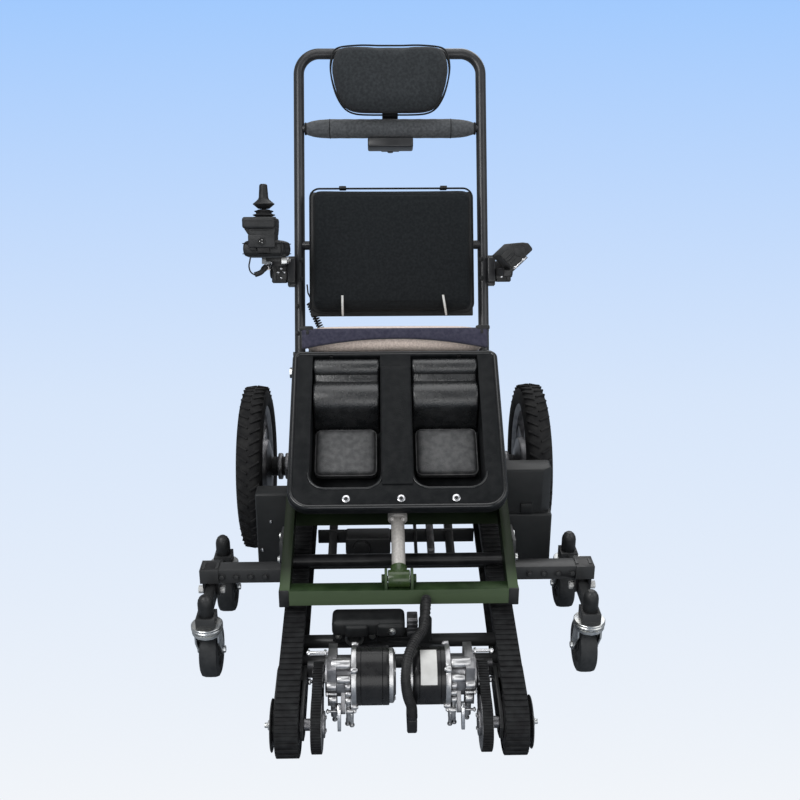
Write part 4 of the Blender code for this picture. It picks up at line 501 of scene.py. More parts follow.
def hex_bolt(at, heading, radius=0.0065, height=0.004, washer=True):
    """A hexagon head on a washer, standing on a surface point."""
    start = Vector(at)
    way = Vector(heading).normalized()
    parts = []
    base = start
    if washer:
        parts.append(pin(tuple(start), tuple(start + way * 0.0012), radius * 1.5, 24, 0.0003))
        base = start + way * 0.001
    parts.append(pin(tuple(base), tuple(base + way * height), radius, 6, 0.0005))
    return fused(parts)


def round_screw(at, heading, radius=0.005, height=0.003):
    """A domed screw head with a socket."""
    profile = [(0.0, 0.0), (radius, 0.0), (radius, height * 0.35), (radius * 0.8, height * 0.85),
        (radius * 0.45, height), (radius * 0.4, height * 0.45), (0.0, height * 0.45)]
    return turned(profile, at, heading, 20)


def drop(*pieces):
    for piece in pieces:
        bpy.data.objects.remove(piece, do_unlink=True)


def ring(piece, count, shift=0.0):
    """Copies of a piece set round the X axis, in place of it."""
    copies = [copied(piece, Matrix.Rotation(2 * math.pi * (i + shift) / count, 4, "X")) for i in range(count)]
    drop(piece)
    return copies


def moved(pieces, at):
    for piece in pieces:
        piece.data.transform(Matrix.Translation(point(*at)))
    return pieces


def power(value, exponent):
    return math.copysign(abs(value) ** exponent, value)


# Rear wheels: lugged tyre, alloy rim, five spokes and a capped hub
WHEEL_X = abs(SPOT["rear_wheel_left_spin"].x)
WHEEL_R = SPOT["rear_wheel_left_spin"].z
TYRE_HALF = 0.028
TYRE_MIDDLE_R = 0.157
TYRE_RISE = 0.0245
TREAD_PITCHES = 46
LUG_X = 0.0128
LUG_R = 0.1806
SPOKES = 5
RIM_SECTION = [(0.14, -0.0215), (0.1406, -0.0195), (0.1365, -0.018), (0.1345, -0.014), (0.129, -0.012),
    (0.1285, 0.012), (0.1345, 0.014), (0.1365, 0.018), (0.1406, 0.0195), (0.14, 0.0215), (0.134, 0.0205),
    (0.1295, 0.0165), (0.125, 0.014), (0.125, -0.014), (0.1295, -0.0165), (0.134, -0.0205)]
HUB_SECTION = [(0.0125, -0.033), (0.036, -0.033), (0.044, -0.029), (0.059, -0.026), (0.062, -0.022),
    (0.062, 0.018), (0.057, 0.0235), (0.036, 0.029), (0.029, 0.033), (0.028, 0.0375), (0.024, 0.039),
    (0.0, 0.039), (0.0, 0.012), (0.0125, 0.012)]


def tyre_section(steps=26):
    section = []
    for i in range(steps + 1):
        angle = math.radians(-50 + 280 * i / steps)
        section.append((TYRE_MIDDLE_R + TYRE_RISE * power(math.sin(angle), 0.8),
            TYRE_HALF * power(math.cos(angle), 0.8)))
    return section


def rear_wheel(name, side):
    place = AXLE @ Matrix.Translation(point(side * WHEEL_X, 0, WHEEL_R))
    body = f"rear_wheel_{name}"
    pieces = [turned(tyre_section(), (0, 0, 0), (1, 0, 0), 96)]
    for edge in (-1, 1):
        lug = block((-0.013, 0.013), (-0.0023, 0.0023), (-0.009, 0.0026), 0.0008, 1)
        lug.data.transform(Matrix.Translation((edge * LUG_X, 0, LUG_R))
            @ Matrix.Rotation(math.radians(edge * 9), 4, "Y")
            @ Matrix.Rotation(math.radians(edge * 32), 4, "Z"))
        pieces += ring(lug, TREAD_PITCHES, edge * 0.25)
    ready(pieces, f"{body}_tyre", body, RUBBER, place, node=f"rear_tyre_{name}")
    pieces = [turned(RIM_SECTION, (0, 0, 0), (side, 0, 0), 96),
        turned(HUB_SECTION, (0, 0, 0), (side, 0, 0), 64)]
    spoke = edged(outline([(-0.02, 0.052), (0.02, 0.052), (0.0125, 0.129), (-0.0125, 0.129)],
        (-0.011, 0.011)), 0.0035, 3)
    pieces += ring(spoke, SPOKES)
    bolt = hex_bolt((side * 0.0265, 0, 0.043), (side, 0, 0), 0.0055)
    pieces += ring(bolt, SPOKES, 0.5)
    ready(pieces, f"{body}_hub", body, ALLOY, place, node=f"rear_hub_{name}")
    cap = turned([(0.0, 0.0388), (0.02, 0.0388), (0.019, 0.042), (0.0, 0.0425)], (0, 0, 0), (side, 0, 0))
    ready(cap, f"{body}_cap", body, PLASTIC, place)


for side_name, side_sign in SIDES.items():
    rear_wheel(side_name, side_sign)

# Crawler tracks, in the frame on the line between their drums
TRACK_X = abs(SPOT["rear_drum_left_spin"].x)
BELT_W = 0.039
DRUM_R = 0.0417
BELT_T = 0.008
BELT_R = DRUM_R + BELT_T + 0.0003
RIB_H = 0.0023
RIB_PITCH = 0.012
ARC_POINTS = 28


def on_loop(distance, radius):
    """The (ahead, up) point and the outward angle at a distance round both drums."""
    turn = math.pi * radius
    if distance <= DRUM_SPAN:
        return (distance, radius), math.pi / 2
    if distance <= DRUM_SPAN + turn:
        way = math.pi / 2 - (distance - DRUM_SPAN) / radius
        return (DRUM_SPAN + radius * math.cos(way), radius * math.sin(way)), way
    if distance <= 2 * DRUM_SPAN + turn:
        return (2 * DRUM_SPAN + turn - distance, -radius), -math.pi / 2
    way = -math.pi / 2 - (distance - 2 * DRUM_SPAN - turn) / radius
    return (radius * math.cos(way), radius * math.sin(way)), way


def loop_place(distance, radius, x):
    spot, way = on_loop(distance, radius)
    return Matrix.Translation(point(x, *spot)) @ Matrix.Rotation(math.pi / 2 - way, 4, "X")


def strap_loop(spots, x, thickness, bevel=0.001):
    """A flat belt through a closed ring of (ahead, up) points, between two X limits."""
    clear()
    bpy.ops.mesh.primitive_circle_add(vertices=len(spots), fill_type="NOTHING")
    piece = bpy.context.object
    for vertex, (ahead, up) in zip(piece.data.vertices, spots):
        vertex.co = (x[0], -ahead, up)
    edit(piece, raise_by((x[1] - x[0], 0, 0), True), face_out)
    use(piece, "SOLIDIFY", thickness=thickness, offset=0.0)
    return edged(piece, bevel, 2, 60) if bevel else piece


def belt(name, side):
    middle = BELT_R - BELT_T / 2
    turn = math.pi * middle
    spots = [on_loop(start + turn * i / ARC_POINTS, middle)[0] for start in (DRUM_SPAN, 2 * DRUM_SPAN + turn)
        for i in range(ARC_POINTS + 1)]
    x = span(side, TRACK_X - BELT_W / 2, TRACK_X + BELT_W / 2)
    pieces = [strap_loop(spots, x, BELT_T)]
    rib = block((-BELT_W / 2 + 0.0006, BELT_W / 2 - 0.0006), (-0.0031, 0.0031), (-0.001, RIB_H), 0.0008, 1)
    length = 2 * DRUM_SPAN + 2 * math.pi * BELT_R
    count = round(length / RIB_PITCH)
    for i in range(count):
        pieces.append(copied(rib, loop_place(length * i / count, BELT_R, side * TRACK_X)))
    drop(rib)
    ready(pieces, f"track_belt_{name}_surface", "crawler", BELT_RUBBER, TRACK, node=f"track_belt_{name}")


PULLEY_X = (0.1299, 0.1479)
PULLEY_R = 0.0425
PULLEY_TEETH = 30
SMALL_PULLEY_R = 0.019


def toothed(x, radius, teeth, bore):
    """A flanged timing pulley on the X axis."""
    width = x[1] - x[0]
    pieces = [turned([(bore, 0.0), (radius + 0.002, 0.0), (radius + 0.002, 0.0016), (radius - 0.0016, 0.0022),
        (radius - 0.0016, width - 0.0022), (radius + 0.002, width - 0.0016), (radius + 0.002, width),
        (bore, width)], (x[0], 0, 0), (1, 0, 0), 60)]
    pitch = 2 * math.pi * radius / teeth
    tooth = block((x[0] + 0.001, x[1] - 0.001), (-pitch / 4, pitch / 4), (radius - 0.003, radius), 0.0004, 1)
    return pieces + ring(tooth, teeth)


def drum(end, name, side):
    node = f"{end}_drum_{name}"
    body = f"{node}_body"
    front = end == "front"
    ahead = DRUM_SPAN if front else 0.0
    shaft = (PULLEY_X[0], 0.2152) if front else (0.154, 0.209)
    section = [(0.009, 0.1675), (0.03, 0.1675), (0.032, 0.169), (0.038, 0.169), (0.04, 0.1675),
        (0.0412, 0.1675), (0.0417, 0.1682), (0.0417, 0.2038), (0.0412, 0.2045), (0.04, 0.2045),
        (0.038, 0.203), (0.032, 0.203), (0.03, 0.2045), (0.009, 0.2045)]
    pieces = [turned(section, (0, 0, 0), (side, 0, 0), 64), across(span(side, *shaft), (0, 0), 0.0098, 32,
        0.001)]
    if front:
        pieces += toothed(span(side, *PULLEY_X), PULLEY_R, PULLEY_TEETH, 0.009)
        pieces.append(across(span(side, PULLEY_X[0] - 0.004, PULLEY_X[0] + 0.001), (0, 0), 0.0215, 32))
        bolt = hex_bolt((side * (PULLEY_X[0] - 0.004), 0, 0.0145), (-side, 0, 0), 0.003, 0.0022, False)
        pieces += ring(bolt, 4)
        disc = turned([(0.01, 0.2112), (0.0404, 0.2112), (0.0426, 0.2118), (0.043, 0.2128), (0.0419, 0.2136),
            (0.03, 0.2136), (0.028, 0.213), (0.01, 0.213)], (0, ahead, 0), (side, 0, 0), 64)
        ready(disc, f"{node}_outer_disc", body, BLACK, TRACK)
        nuts = [across(span(side, 0.2136, 0.2196), (0, 0), 0.0085, 6, 0.0006),
            across(span(side, 0.219, 0.225), (0, 0), 0.0042, 24, 0.0006)]
        ready(moved(nuts, (0, ahead, 0)), f"{node}_shaft_nut", body, ZINC, TRACK)
    ready(moved(pieces, (0, ahead, 0)), f"{node}_surface", body, ALLOY, TRACK, node=node)


for side_name, side_sign in SIDES.items():
    belt(side_name, side_sign)
    drum("front", side_name, side_sign)
    drum("rear", side_name, side_sign)
    dressed(f"track_rail_{side_name}", 0.001)


def crawler_spot(at):
    """A ground (ahead, z) place in the crawler's upright frame."""
    rear = SPOT["rear_drum_left_spin"]
    return (at[0] - (AXLE.translation.y - rear.y), at[1] - rear.z)


MOTOR_AT = crawler_spot((0.668, 0.098))
FRONT_AT = crawler_spot((0.736, 0.0522))
MOTOR_R = 0.049


def timing_belt(name, side):
    """The loop round the gearbox's small pulley and the drum's large one."""
    dx = FRONT_AT[0] - MOTOR_AT[0]
    dz = FRONT_AT[1] - MOTOR_AT[1]
    length = math.hypot(dx, dz)
    heading = math.atan2(dz, dx)
    small = SMALL_PULLEY_R + 0.0016
    large = PULLEY_R + 0.0016
    open_angle = math.acos((small - large) / length)
    spots = []
    for i in range(25):
        angle = heading + open_angle + (2 * math.pi - 2 * open_angle) * i / 24
        spots.append((MOTOR_AT[0] + small * math.cos(angle), MOTOR_AT[1] + small * math.sin(angle)))
    for i in range(33):
        angle = heading - open_angle + 2 * open_angle * i / 32
        spots.append((FRONT_AT[0] + large * math.cos(angle), FRONT_AT[1] + large * math.sin(angle)))
    x = span(side, PULLEY_X[0] + 0.0006, PULLEY_X[1] - 0.0006)
    pieces = [strap_loop(spots, x, 0.0026, 0.0004)]
    rib = block(x, (-0.0014, 0.0014), (0.001, 0.0026), 0.0004, 1)
    loop = spots + spots[:1]
    run = 0.0
    for a, b in zip(loop, loop[1:]):
        step = math.hypot(b[0] - a[0], b[1] - a[1])
        way = math.atan2(b[1] - a[1], b[0] - a[0])
        while run <= step and step > 0:
            at = (a[0] + (b[0] - a[0]) * run / step, a[1] + (b[1] - a[1]) * run / step)
            pieces.append(copied(rib, Matrix.Translation(point(0, *at))
                @ Matrix.Rotation(-way + math.pi, 4, "X")))
            run += 0.0052
        run -= step
    drop(rib)
    ready(pieces, f"timing_belt_{name}", "crawler", BELT_RUBBER, CRAWLER)


def motor(name, side):
    centre = (0, *MOTOR_AT)
    can = [turned([(0.0, 0.0195), (0.048, 0.0195), (MOTOR_R, 0.021), (MOTOR_R, 0.03), (0.0484, 0.0306),
        (MOTOR_R, 0.0312), (MOTOR_R, 0.066), (0.0484, 0.0666), (MOTOR_R, 0.0672), (MOTOR_R, 0.0745),
        (0.0, 0.0745)], (0, 0, 0), (side, 0, 0), 96)]
    if side > 0:
        can.append(block((0.009, 0.026), (0.02, 0.07), (-0.066, -0.04), 0.003))
        can.append(pin((0.0175, 0.0605, -0.041), (0.0175, 0.0605, -0.034), 0.0092, 32))
    ready(moved(can, centre), f"motor_{name}_can", "crawler", MOTOR_BLACK, CRAWLER, node=f"motor_{name}")
    bell = [turned([(0.0, 0.0082), (0.032, 0.0082), (0.034, 0.01), (0.042, 0.0105), (0.0455, 0.013),
        (0.0455, 0.0197), (0.0, 0.0197)], (0, 0, 0), (side, 0, 0), 96),
        turned([(0.0, 0.0744), (0.05, 0.0744), (0.0505, 0.0752), (0.0505, 0.0822), (0.0497, 0.083),
        (0.0, 0.083)], (0, 0, 0), (side, 0, 0), 96)]
    bell += ring(hex_bolt((side * 0.0104, 0, 0.038), (-side, 0, 0), 0.003, 0.002, False), 4, 0.5)
    tab = pin((side * 0.0744, 0, 0.0505), (side * 0.083, 0, 0.0505), 0.0062, 24)
    bell += ring(tab, 4, 0.5)
    bell += ring(round_screw((side * 0.0744, 0, 0.0515), (-side, 0, 0), 0.0038, 0.0028), 4, 0.5)
    ready(moved(bell, centre), f"motor_{name}_bells", "crawler", BRIGHT_ALLOY, CRAWLER)


def castings(name, side):
    """Bosses, tie rods and a drooping casting on the gearbox's front, clear of the release lever."""
    pieces = []
    for inner, outer, ahead, up, radius in ((0.084, 0.116, 0.02, 0.0366, 0.0085),
            (0.084, 0.106, 0.034, 0.017, 0.007), (0.084, 0.0925, 0.037, 0.005, 0.006),
            (0.079, 0.0925, 0.04, -0.007, 0.0048), (0.084, 0.0925, 0.039, -0.021, 0.0058),
            (0.08, 0.0925, 0.039, -0.0425, 0.005), (0.1075, 0.123, 0.036, 0.006, 0.0075),
            (0.1075, 0.12, 0.038, -0.019, 0.0068)):
        pieces.append(across(span(side, inner, outer), (ahead, up), radius, 32, 0.0009))
    for inner, outer, ahead, up in ((0.0745, 0.0925, 0.04, -0.007), (0.0745, 0.0925, 0.039, -0.0425),
            (0.107, 0.1255, 0.04, -0.007), (0.107, 0.1255, 0.039, -0.0425)):
        pieces.append(across(span(side, inner, outer), (ahead, up), 0.0022, 16, 0.0003))
    for x, ahead, up in ((0.0765, 0.04, -0.007), (0.0765, 0.039, -0.0425), (0.1215, 0.04, -0.007),
            (0.1215, 0.039, -0.0425)):
        pieces.append(across(span(side, x, x + 0.003), (ahead, up), 0.004, 6, 0.0004))
    pieces.append(block(span(side, 0.0846, 0.0922), (0.008, 0.037), (-0.064, 0.01), 0.0025, 3))
    pieces.append(block(span(side, 0.08, 0.0925), (0.02, 0.034), (-0.07, -0.052), 0.003, 3))
    pieces.append(block(span(side, 0.1072, 0.118), (0.01, 0.034), (-0.06, 0.0), 0.003, 3))
    for x, ahead, up in ((0.083, 0.029, -0.068), (0.0905, 0.025, -0.068), (0.112, 0.026, -0.058)):
        pieces.append(pin((side * x, ahead, up), (side * x, ahead, up - 0.012), 0.003, 16, 0.0005))
        pieces.append(pin((side * x, ahead, up - 0.0085), (side * x, ahead, up - 0.013), 0.0044, 12, 0.001))
    ready(moved(pieces, (0, *MOTOR_AT)), f"gearbox_{name}_castings", "crawler", BRIGHT_ALLOY, CRAWLER)
    rods = []
    for ahead, up in ((-0.028, 0.027), (-0.023, -0.028)):
        at = (MOTOR_AT[0] + ahead, MOTOR_AT[1] + up)
        rods.append(across(span(side, 0.115, 0.16), at, 0.003, 24, 0.0004))
        rods.append(across(span(side, 0.1262, 0.13), at, 0.0055, 6, 0.0004))
        rods.append(across(span(side, 0.1545, 0.1588), at, 0.0055, 6, 0.0004))
    ready(rods, f"gearbox_{name}_standoffs", "crawler", STEEL, CRAWLER)


def label_plate():
    """A blank plate bent round the right motor's can."""
    steps = 12
    clear()
    bpy.ops.mesh.primitive_grid_add(x_subdivisions=2, y_subdivisions=steps)
    plate = bpy.context.object
    for vertex in plate.data.vertices:
        along = 0.0325 if vertex.co.x < 0 else 0.0598
        if abs(vertex.co.x) < 0.5:
            along = 0.0462
        angle = math.radians(52.5 + 36.5 * vertex.co.y)
        vertex.co = (along, -MOTOR_AT[0] - (MOTOR_R + 0.0002) * math.cos(angle),
            MOTOR_AT[1] + (MOTOR_R + 0.0002) * math.sin(angle))
    use(plate, "SOLIDIFY", thickness=0.0007, offset=1.0)
    edit(plate, face_out)
    ready(plate, "motor_label_plate", "crawler", LABEL, CRAWLER)


for side_name, side_sign in SIDES.items():
    motor(side_name, side_sign)
    timing_belt(side_name, side_sign)
    dressed(f"gearbox_{side_name}", 0.0012)
    castings(side_name, side_sign)
    dressed(f"release_lever_{side_name}", 0.0008)
label_plate()
for node in ("cross_tube_rear", "cross_tube_middle", "cross_tube_front"):
    low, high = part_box(node)
    middle = (low + high) / 2
    tube_piece = pin((low.x, -middle.y, middle.z), (high.x, -middle.y, middle.z), (high.z - low.z) / 2, 48,
        0.001)
    ready(tube_piece, f"{node}_surface", "crawler", BLACK, node=node)

# Lift drive: a rounded housing, its bracket with an eye, a relay and a cable gland on the middle tube
LIFT_AT = crawler_spot((0.548, 0.085))
LIFT_LOW = LIFT_AT[1] + 0.0123
LIFT_TOP = LIFT_AT[1] + 0.0617
housing = [block((-0.1195, 0.01), (LIFT_AT[0] - 0.015, LIFT_AT[0] + 0.033), (LIFT_LOW + 0.018, LIFT_TOP),
    0.009, 5), block((-0.04, 0.008), (LIFT_AT[0] + 0.01, LIFT_AT[0] + 0.039),
    (LIFT_LOW + 0.02, LIFT_TOP - 0.004), 0.006, 4), block((-0.115, -0.038),
    (LIFT_AT[0] - 0.01, LIFT_AT[0] + 0.024), (LIFT_LOW, LIFT_LOW + 0.023), 0.003, 3),
    block((-0.119, 0.059), (LIFT_AT[0] - 0.012, LIFT_AT[0] + 0.02), (LIFT_LOW, LIFT_LOW + 0.008), 0.0015),
    pin((0.046, LIFT_AT[0] + 0.022, LIFT_LOW + 0.006), (0.046, LIFT_AT[0] + 0.022, LIFT_TOP - 0.0002), 0.0118,
    40, 0.002), block((-0.096, -0.056), (LIFT_AT[0] + 0.01, LIFT_AT[0] + 0.039),
    (LIFT_LOW + 0.02, LIFT_TOP - 0.006), 0.005, 4)]
ready(housing, "lift_drive_surface", "crawler", PLASTIC, CRAWLER, node="lift_drive")
eye = [turned([(0.012, 0.0), (0.017, 0.0), (0.0175, 0.003), (0.0165, 0.005), (0.013, 0.005), (0.012, 0.003)],
    (-0.08, LIFT_AT[0] + 0.0236, LIFT_LOW + 0.012), FORWARD, 40),
    hex_bolt((-0.013, LIFT_AT[0] + 0.0388, LIFT_TOP - 0.017), FORWARD, 0.0046, 0.0034),
    hex_bolt((-0.048, LIFT_AT[0] + 0.0238, LIFT_LOW + 0.014), FORWARD, 0.004, 0.0034),
    hex_bolt((-0.108, LIFT_AT[0] + 0.0238, LIFT_LOW + 0.014), FORWARD, 0.004, 0.0034)]
ready(eye, "lift_drive_fastenings", "crawler", ZINC, CRAWLER)
relay = [block((0.014, 0.033), (LIFT_AT[0] - 0.006, LIFT_AT[0] + 0.018), (LIFT_LOW + 0.007, LIFT_TOP - 0.004),
    0.002)]
for i in range(4):
    relay.append(block((0.0136, 0.0334), (LIFT_AT[0] + 0.017, LIFT_AT[0] + 0.0192),
        (LIFT_LOW + 0.013 + 0.008 * i, LIFT_LOW + 0.018 + 0.008 * i), 0.0006))
ready(relay, "lift_relay", "crawler", ALLOY, CRAWLER)

# Crawler's rear bracing between the rails, behind the rear tube
bracing = [block((-0.159, 0.159), tuple(crawler_spot((a, 0))[0] for a in (0.268, 0.276)),
    tuple(crawler_spot((0, z))[1] for z in (0.136, 0.164)), 0.0015)]
for x in ((-0.136, -0.12), (0.1, 0.116), (0.036, 0.042)):
    near = crawler_spot((0.348, 0.136))
    far = crawler_spot((0.2, 0.168))
    bracing.append(edged(outline([(near[0], near[1] - 0.01), (near[0], near[1] + 0.01),
        (far[0], far[1] + 0.012), (far[0], far[1] - 0.012)], x), 0.0012))
near = crawler_spot((0.315, 0.144))
bracing.append(block((-0.102, -0.012), (near[0] - 0.045, near[0]), (near[1] - 0.014, near[1] + 0.024), 0.004,
    3))
bracing.append(pin((-0.07, near[0], near[1] + 0.004), (-0.07, near[0] + 0.01, near[1] + 0.004), 0.016, 40,
    0.0015))
ready(bracing, "crawler_rear_bracing", "crawler", BLACK, CRAWLER)
light_bar = edged(outline([(near[0] + 0.02, near[1] - 0.012), (near[0] + 0.02, near[1] + 0.01),
    (near[0] - 0.08, near[1] + 0.032), (near[0] - 0.08, near[1] + 0.008)], (0.062, 0.076)), 0.0015)
ready(light_bar, "crawler_light_bar", "crawler", ALLOY, CRAWLER)


# Chassis: green frame, caster beam, bogies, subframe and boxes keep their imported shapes, with rounded edges
for node in ("green_frame", "caster_beam", "rear_subframe", "battery_box", "battery_lid", "control_box"):
    dressed(node, 0.0014 if "box" in node or node == "battery_lid" else 0.001)

BEAM_AHEAD = AXLE.translation.y - SPOT["bogie_left_rock"].y
BOGIE_X = abs(SPOT["bogie_left_rock"].x)
BOGIE_Z = SPOT["bogie_left_rock"].z
BOGIE_REACH = 0.11
CASTER_X = abs(SPOT["caster_front_left_roll"].x)
CASTER_SECTION = [(0.0046, -0.016), (0.012, -0.016), (0.013, -0.013), (0.029, -0.0115), (0.031, -0.015),
    (0.0345, -0.016), (0.044, -0.0165), (0.048, -0.0145), (0.0497, -0.009), (0.05, 0.0), (0.0497, 0.009),
    (0.048, 0.0145), (0.044, 0.0165), (0.0345, 0.016), (0.031, 0.015), (0.029, 0.0115), (0.013, 0.013),
    (0.012, 0.016), (0.0046, 0.016)]


def bogie(name, side):
    node = f"bogie_{name}"
    body = f"{node}_body"
    dressed(node, 0.0012)
    domes = []
    caps = []
    for end in (-1, 1):
        at = (side * CASTER_X, BEAM_AHEAD + end * BOGIE_REACH, BOGIE_Z + 0.015)
        domes.append(turned([(0.0, 0.0), (0.0132, 0.0), (0.014, 0.0015), (0.014, 0.024), (0.0128, 0.03),
            (0.01, 0.0345), (0.0055, 0.037), (0.0, 0.0378)], at, (0, 0, 1), 40))
        caps.append(turned([(0.016, 0.0), (0.0276, 0.0), (0.0284, 0.0012), (0.0284, 0.003), (0.027, 0.0044),
            (0.0284, 0.0058), (0.0284, 0.008), (0.0272, 0.0092), (0.016, 0.0096)],
            (at[0], at[1], BOGIE_Z - 0.013), (0, 0, 1), 48))
    ready(domes, f"{node}_domes", body, PLASTIC, AXLE)
    ready(caps, f"{node}_bearing_caps", body, ZINC, AXLE)
    centre = (BEAM_AHEAD, BOGIE_Z)
    ends = [across(span(side, BOGIE_X + 0.014, BOGIE_X + 0.0262), centre, 0.0078, 6, 0.0006),
        across(span(side, BOGIE_X - 0.0235, BOGIE_X - 0.0155), centre, 0.0078, 6, 0.0006)]
    ready(ends, f"{node}_pivot_bolt", body, PALE, AXLE)


def caster(end, name, side):
    whole = f"caster_{end}_{name}"
    dressed(f"caster_fork_{end}_{name}", 0.0007)
    wheel_at = SPOT[f"{whole}_roll"]
    centre = (0, AXLE.translation.y - wheel_at.y, wheel_at.z)
    wheel = turned(CASTER_SECTION, (side * CASTER_X, centre[1], centre[2]), (side, 0, 0), 72)
    ready(wheel, f"{whole}_wheel", f"{whole}_roller", CASTER_RUBBER, AXLE, node=f"caster_wheel_{end}_{name}")
    hub = turned([(0.0044, -0.015), (0.011, -0.015), (0.011, -0.0128), (0.0285, -0.0112), (0.0285, 0.0112),
        (0.011, 0.0128), (0.011, 0.015), (0.0044, 0.015)], (side * CASTER_X, centre[1], centre[2]),
        (side, 0, 0), 48)
    ready(hub, f"{whole}_core", f"{whole}_roller", PALE, AXLE)
    nuts = [across(span(edge, side * edge * CASTER_X + 0.02, side * edge * CASTER_X + 0.0258), centre[1:],
        0.0066, 6, 0.0005) for edge in (-1, 1)]
    ready(nuts, f"{whole}_axle_nuts", whole, ZINC, AXLE)
    crown_top = BOGIE_Z - 0.0133
    ahead = BEAM_AHEAD + (BOGIE_REACH if end == "front" else -BOGIE_REACH)
    race = turned([(0.016, 0.0), (0.0268, 0.0), (0.0274, 0.0012), (0.0274, 0.005), (0.024, 0.0068),
        (0.016, 0.0072)], (side * CASTER_X, ahead, crown_top - 0.0076), (0, 0, 1), 48)
    ready(race, f"{whole}_swivel_race", whole, ZINC, AXLE)


for side_name, side_sign in SIDES.items():
    bogie(side_name, side_sign)
    for end_name in ("front", "rear"):
        caster(end_name, side_name, side_sign)


def fastened(name, body, where, places, material=ZINC):
    """Bolt heads at (at, heading, radius) places, as one piece."""
    heads = [hex_bolt(at, heading, radius) for at, heading, radius in places]
    return ready(heads, name, body, material, where)


beam_front = BEAM_AHEAD + 0.0158
beam_bolts = [((side * x, beam_front, 0.1635), FORWARD, 0.0048) for side in (-1, 1)
    for x in (0.248, 0.275, 0.302, 0.329)]
fastened("beam_bolts", "chassis", AXLE, beam_bolts, BLACK)
side_bolts = []
for side in (-1, 1):
    outward = (side, 0, 0)
    for ahead, up in ((0.41, 0.227), (0.46, 0.205), (-0.035, 0.23), (0.09, 0.225), (0.15, 0.145)):
        side_bolts.append(((side * 0.2172, ahead, up), outward, 0.006))
fastened("side_plate_bolts", "chassis", AXLE, side_bolts)
end_caps = []
for side in (-1, 1):
    end_caps.append(block(span(side, 0.1945, 0.2122), (0.531, 0.5612), (0.1655, 0.1982), 0.0012))
    end_caps.append(block(span(side, 0.3655, 0.3712), (BEAM_AHEAD - 0.015, BEAM_AHEAD + 0.015),
        (0.1505, 0.1765), 0.0012))
ready(end_caps, "bar_end_caps", "chassis", PLASTIC, AXLE)
pivot_caps = []
seat_pivot = (AXLE.translation.y - SPOT["seat_tilt"].y, SPOT["seat_tilt"].z)
for side in (-1, 1):
    pivot_caps.append(across(span(side, 0.2172, 0.2262), seat_pivot, 0.012, 6, 0.0008))
    pivot_caps.append(across(span(side, 0.2172, 0.219), seat_pivot, 0.0165, 32, 0.0004))
ready(pivot_caps, "seat_pivot_nuts", "seat", ZINC, AXLE)

# Screws, a latch and a seam strip on the boxes
box_low, box_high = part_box("control_box")
box_front = -box_low.y
box_bits = []
for x, z in ((-0.249, 0.228), (-0.258, 0.17), (-0.235, 0.105), (-0.278, 0.105)):
    if box_low.x + 0.004 < x < box_high.x - 0.004 and box_low.z + 0.004 < z < box_high.z - 0.004:
        box_bits.append(round_screw((x, box_front + AXLE.translation.y - 0.0003, z), FORWARD, 0.0038, 0.0026))
ready(box_bits, "control_box_screws", BODY_OF["control_box"], STEEL, AXLE)
lid_low, lid_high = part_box("battery_lid")
lid_front = AXLE.translation.y - lid_low.y
lid_bits = [block((lid_low.x + 0.01, lid_high.x - 0.01), (lid_front - 0.001, lid_front + 0.001),
    (lid_low.z + 0.0015, lid_low.z + 0.0035), 0.0005), block(((lid_low.x + lid_high.x) / 2 - 0.012,
    (lid_low.x + lid_high.x) / 2 + 0.012), (lid_front - 0.001, lid_front + 0.004),
    (lid_low.z + 0.002, lid_low.z + 0.024), 0.0012)]
ready(lid_bits, "battery_lid_trim", BODY_OF["battery_lid"], PLASTIC, AXLE)

# Silver collars on the wheel stubs
collars = []
for side in (-1, 1):
    for start in (0.22, 0.236, 0.252):
        collars.append(turned([(0.022, 0.0), (0.029, 0.0008), (0.03, 0.003), (0.03, 0.008), (0.029, 0.0102),
            (0.022, 0.011)], (side * start, 0, WHEEL_R), (side, 0, 0), 64))
ready(collars, "wheel_stub_collars", "chassis", ALLOY, AXLE)

# Strut: bright tube over a rod, bolted collar and clevis sleeve
STRUT_FOOT = SPOT["strut_pivot"]
slide = next(joint for joint in frame["joints"] if joint["name"] == "strut_slide")
strut_up = Vector(slide["axis"]).normalized()
foot = point(0, AXLE.translation.y - STRUT_FOOT.y, STRUT_FOOT.z)
tube_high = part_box("strut_tube")[1]
strut_length = (tube_high.z - STRUT_FOOT.z - 0.008) / strut_up.z


def on_strut(distance, x=0.0):
    spot = foot + strut_up * distance
    return (x, -spot.y, spot.z)


way = (0, -strut_up.y, strut_up.z)
rod_pieces = [pin(on_strut(0.006), on_strut(strut_length - 0.036), 0.0092, 48),
    across((-0.0195, 0.0195), on_strut(0.0)[1:], 0.015, 48, 0.0012),
    pin(on_strut(0.002), on_strut(0.0235), 0.0138, 48, 0.001)]
ready(rod_pieces, "strut_rod_surface", "strut_lower", STEEL, AXLE, node="strut_rod")
socket = [across((-0.0192, 0.0192), on_strut(0.0)[1:], 0.0154, 48, 0.0012),
    pin(on_strut(0.002), on_strut(0.0238), 0.0148, 48, 0.001)]
ready(socket, "strut_socket", "strut_lower", SOCKET_OLIVE, AXLE)
tube_pieces = [pin(on_strut(0.0248), on_strut(strut_length - 0.018), 0.0123, 64, 0.0008),
    turned([(0.0, 0.0), (0.016, 0.0), (0.018, 0.0012), (0.018, 0.0128), (0.0165, 0.014), (0.0, 0.014)],
    on_strut(strut_length - 0.0275), way, 64), pin(on_strut(strut_length - 0.014, 0),
    on_strut(strut_length + 0.002, 0), 0.0085, 32)]
for side in (-1, 1):
    at = on_strut(strut_length - 0.0205, side * 0.01)
    tube_pieces.append(hex_bolt((at[0], at[1] + 0.015, at[2] + 0.004), (side * 0.3, 0.85, 0.45), 0.0026,
        0.003))
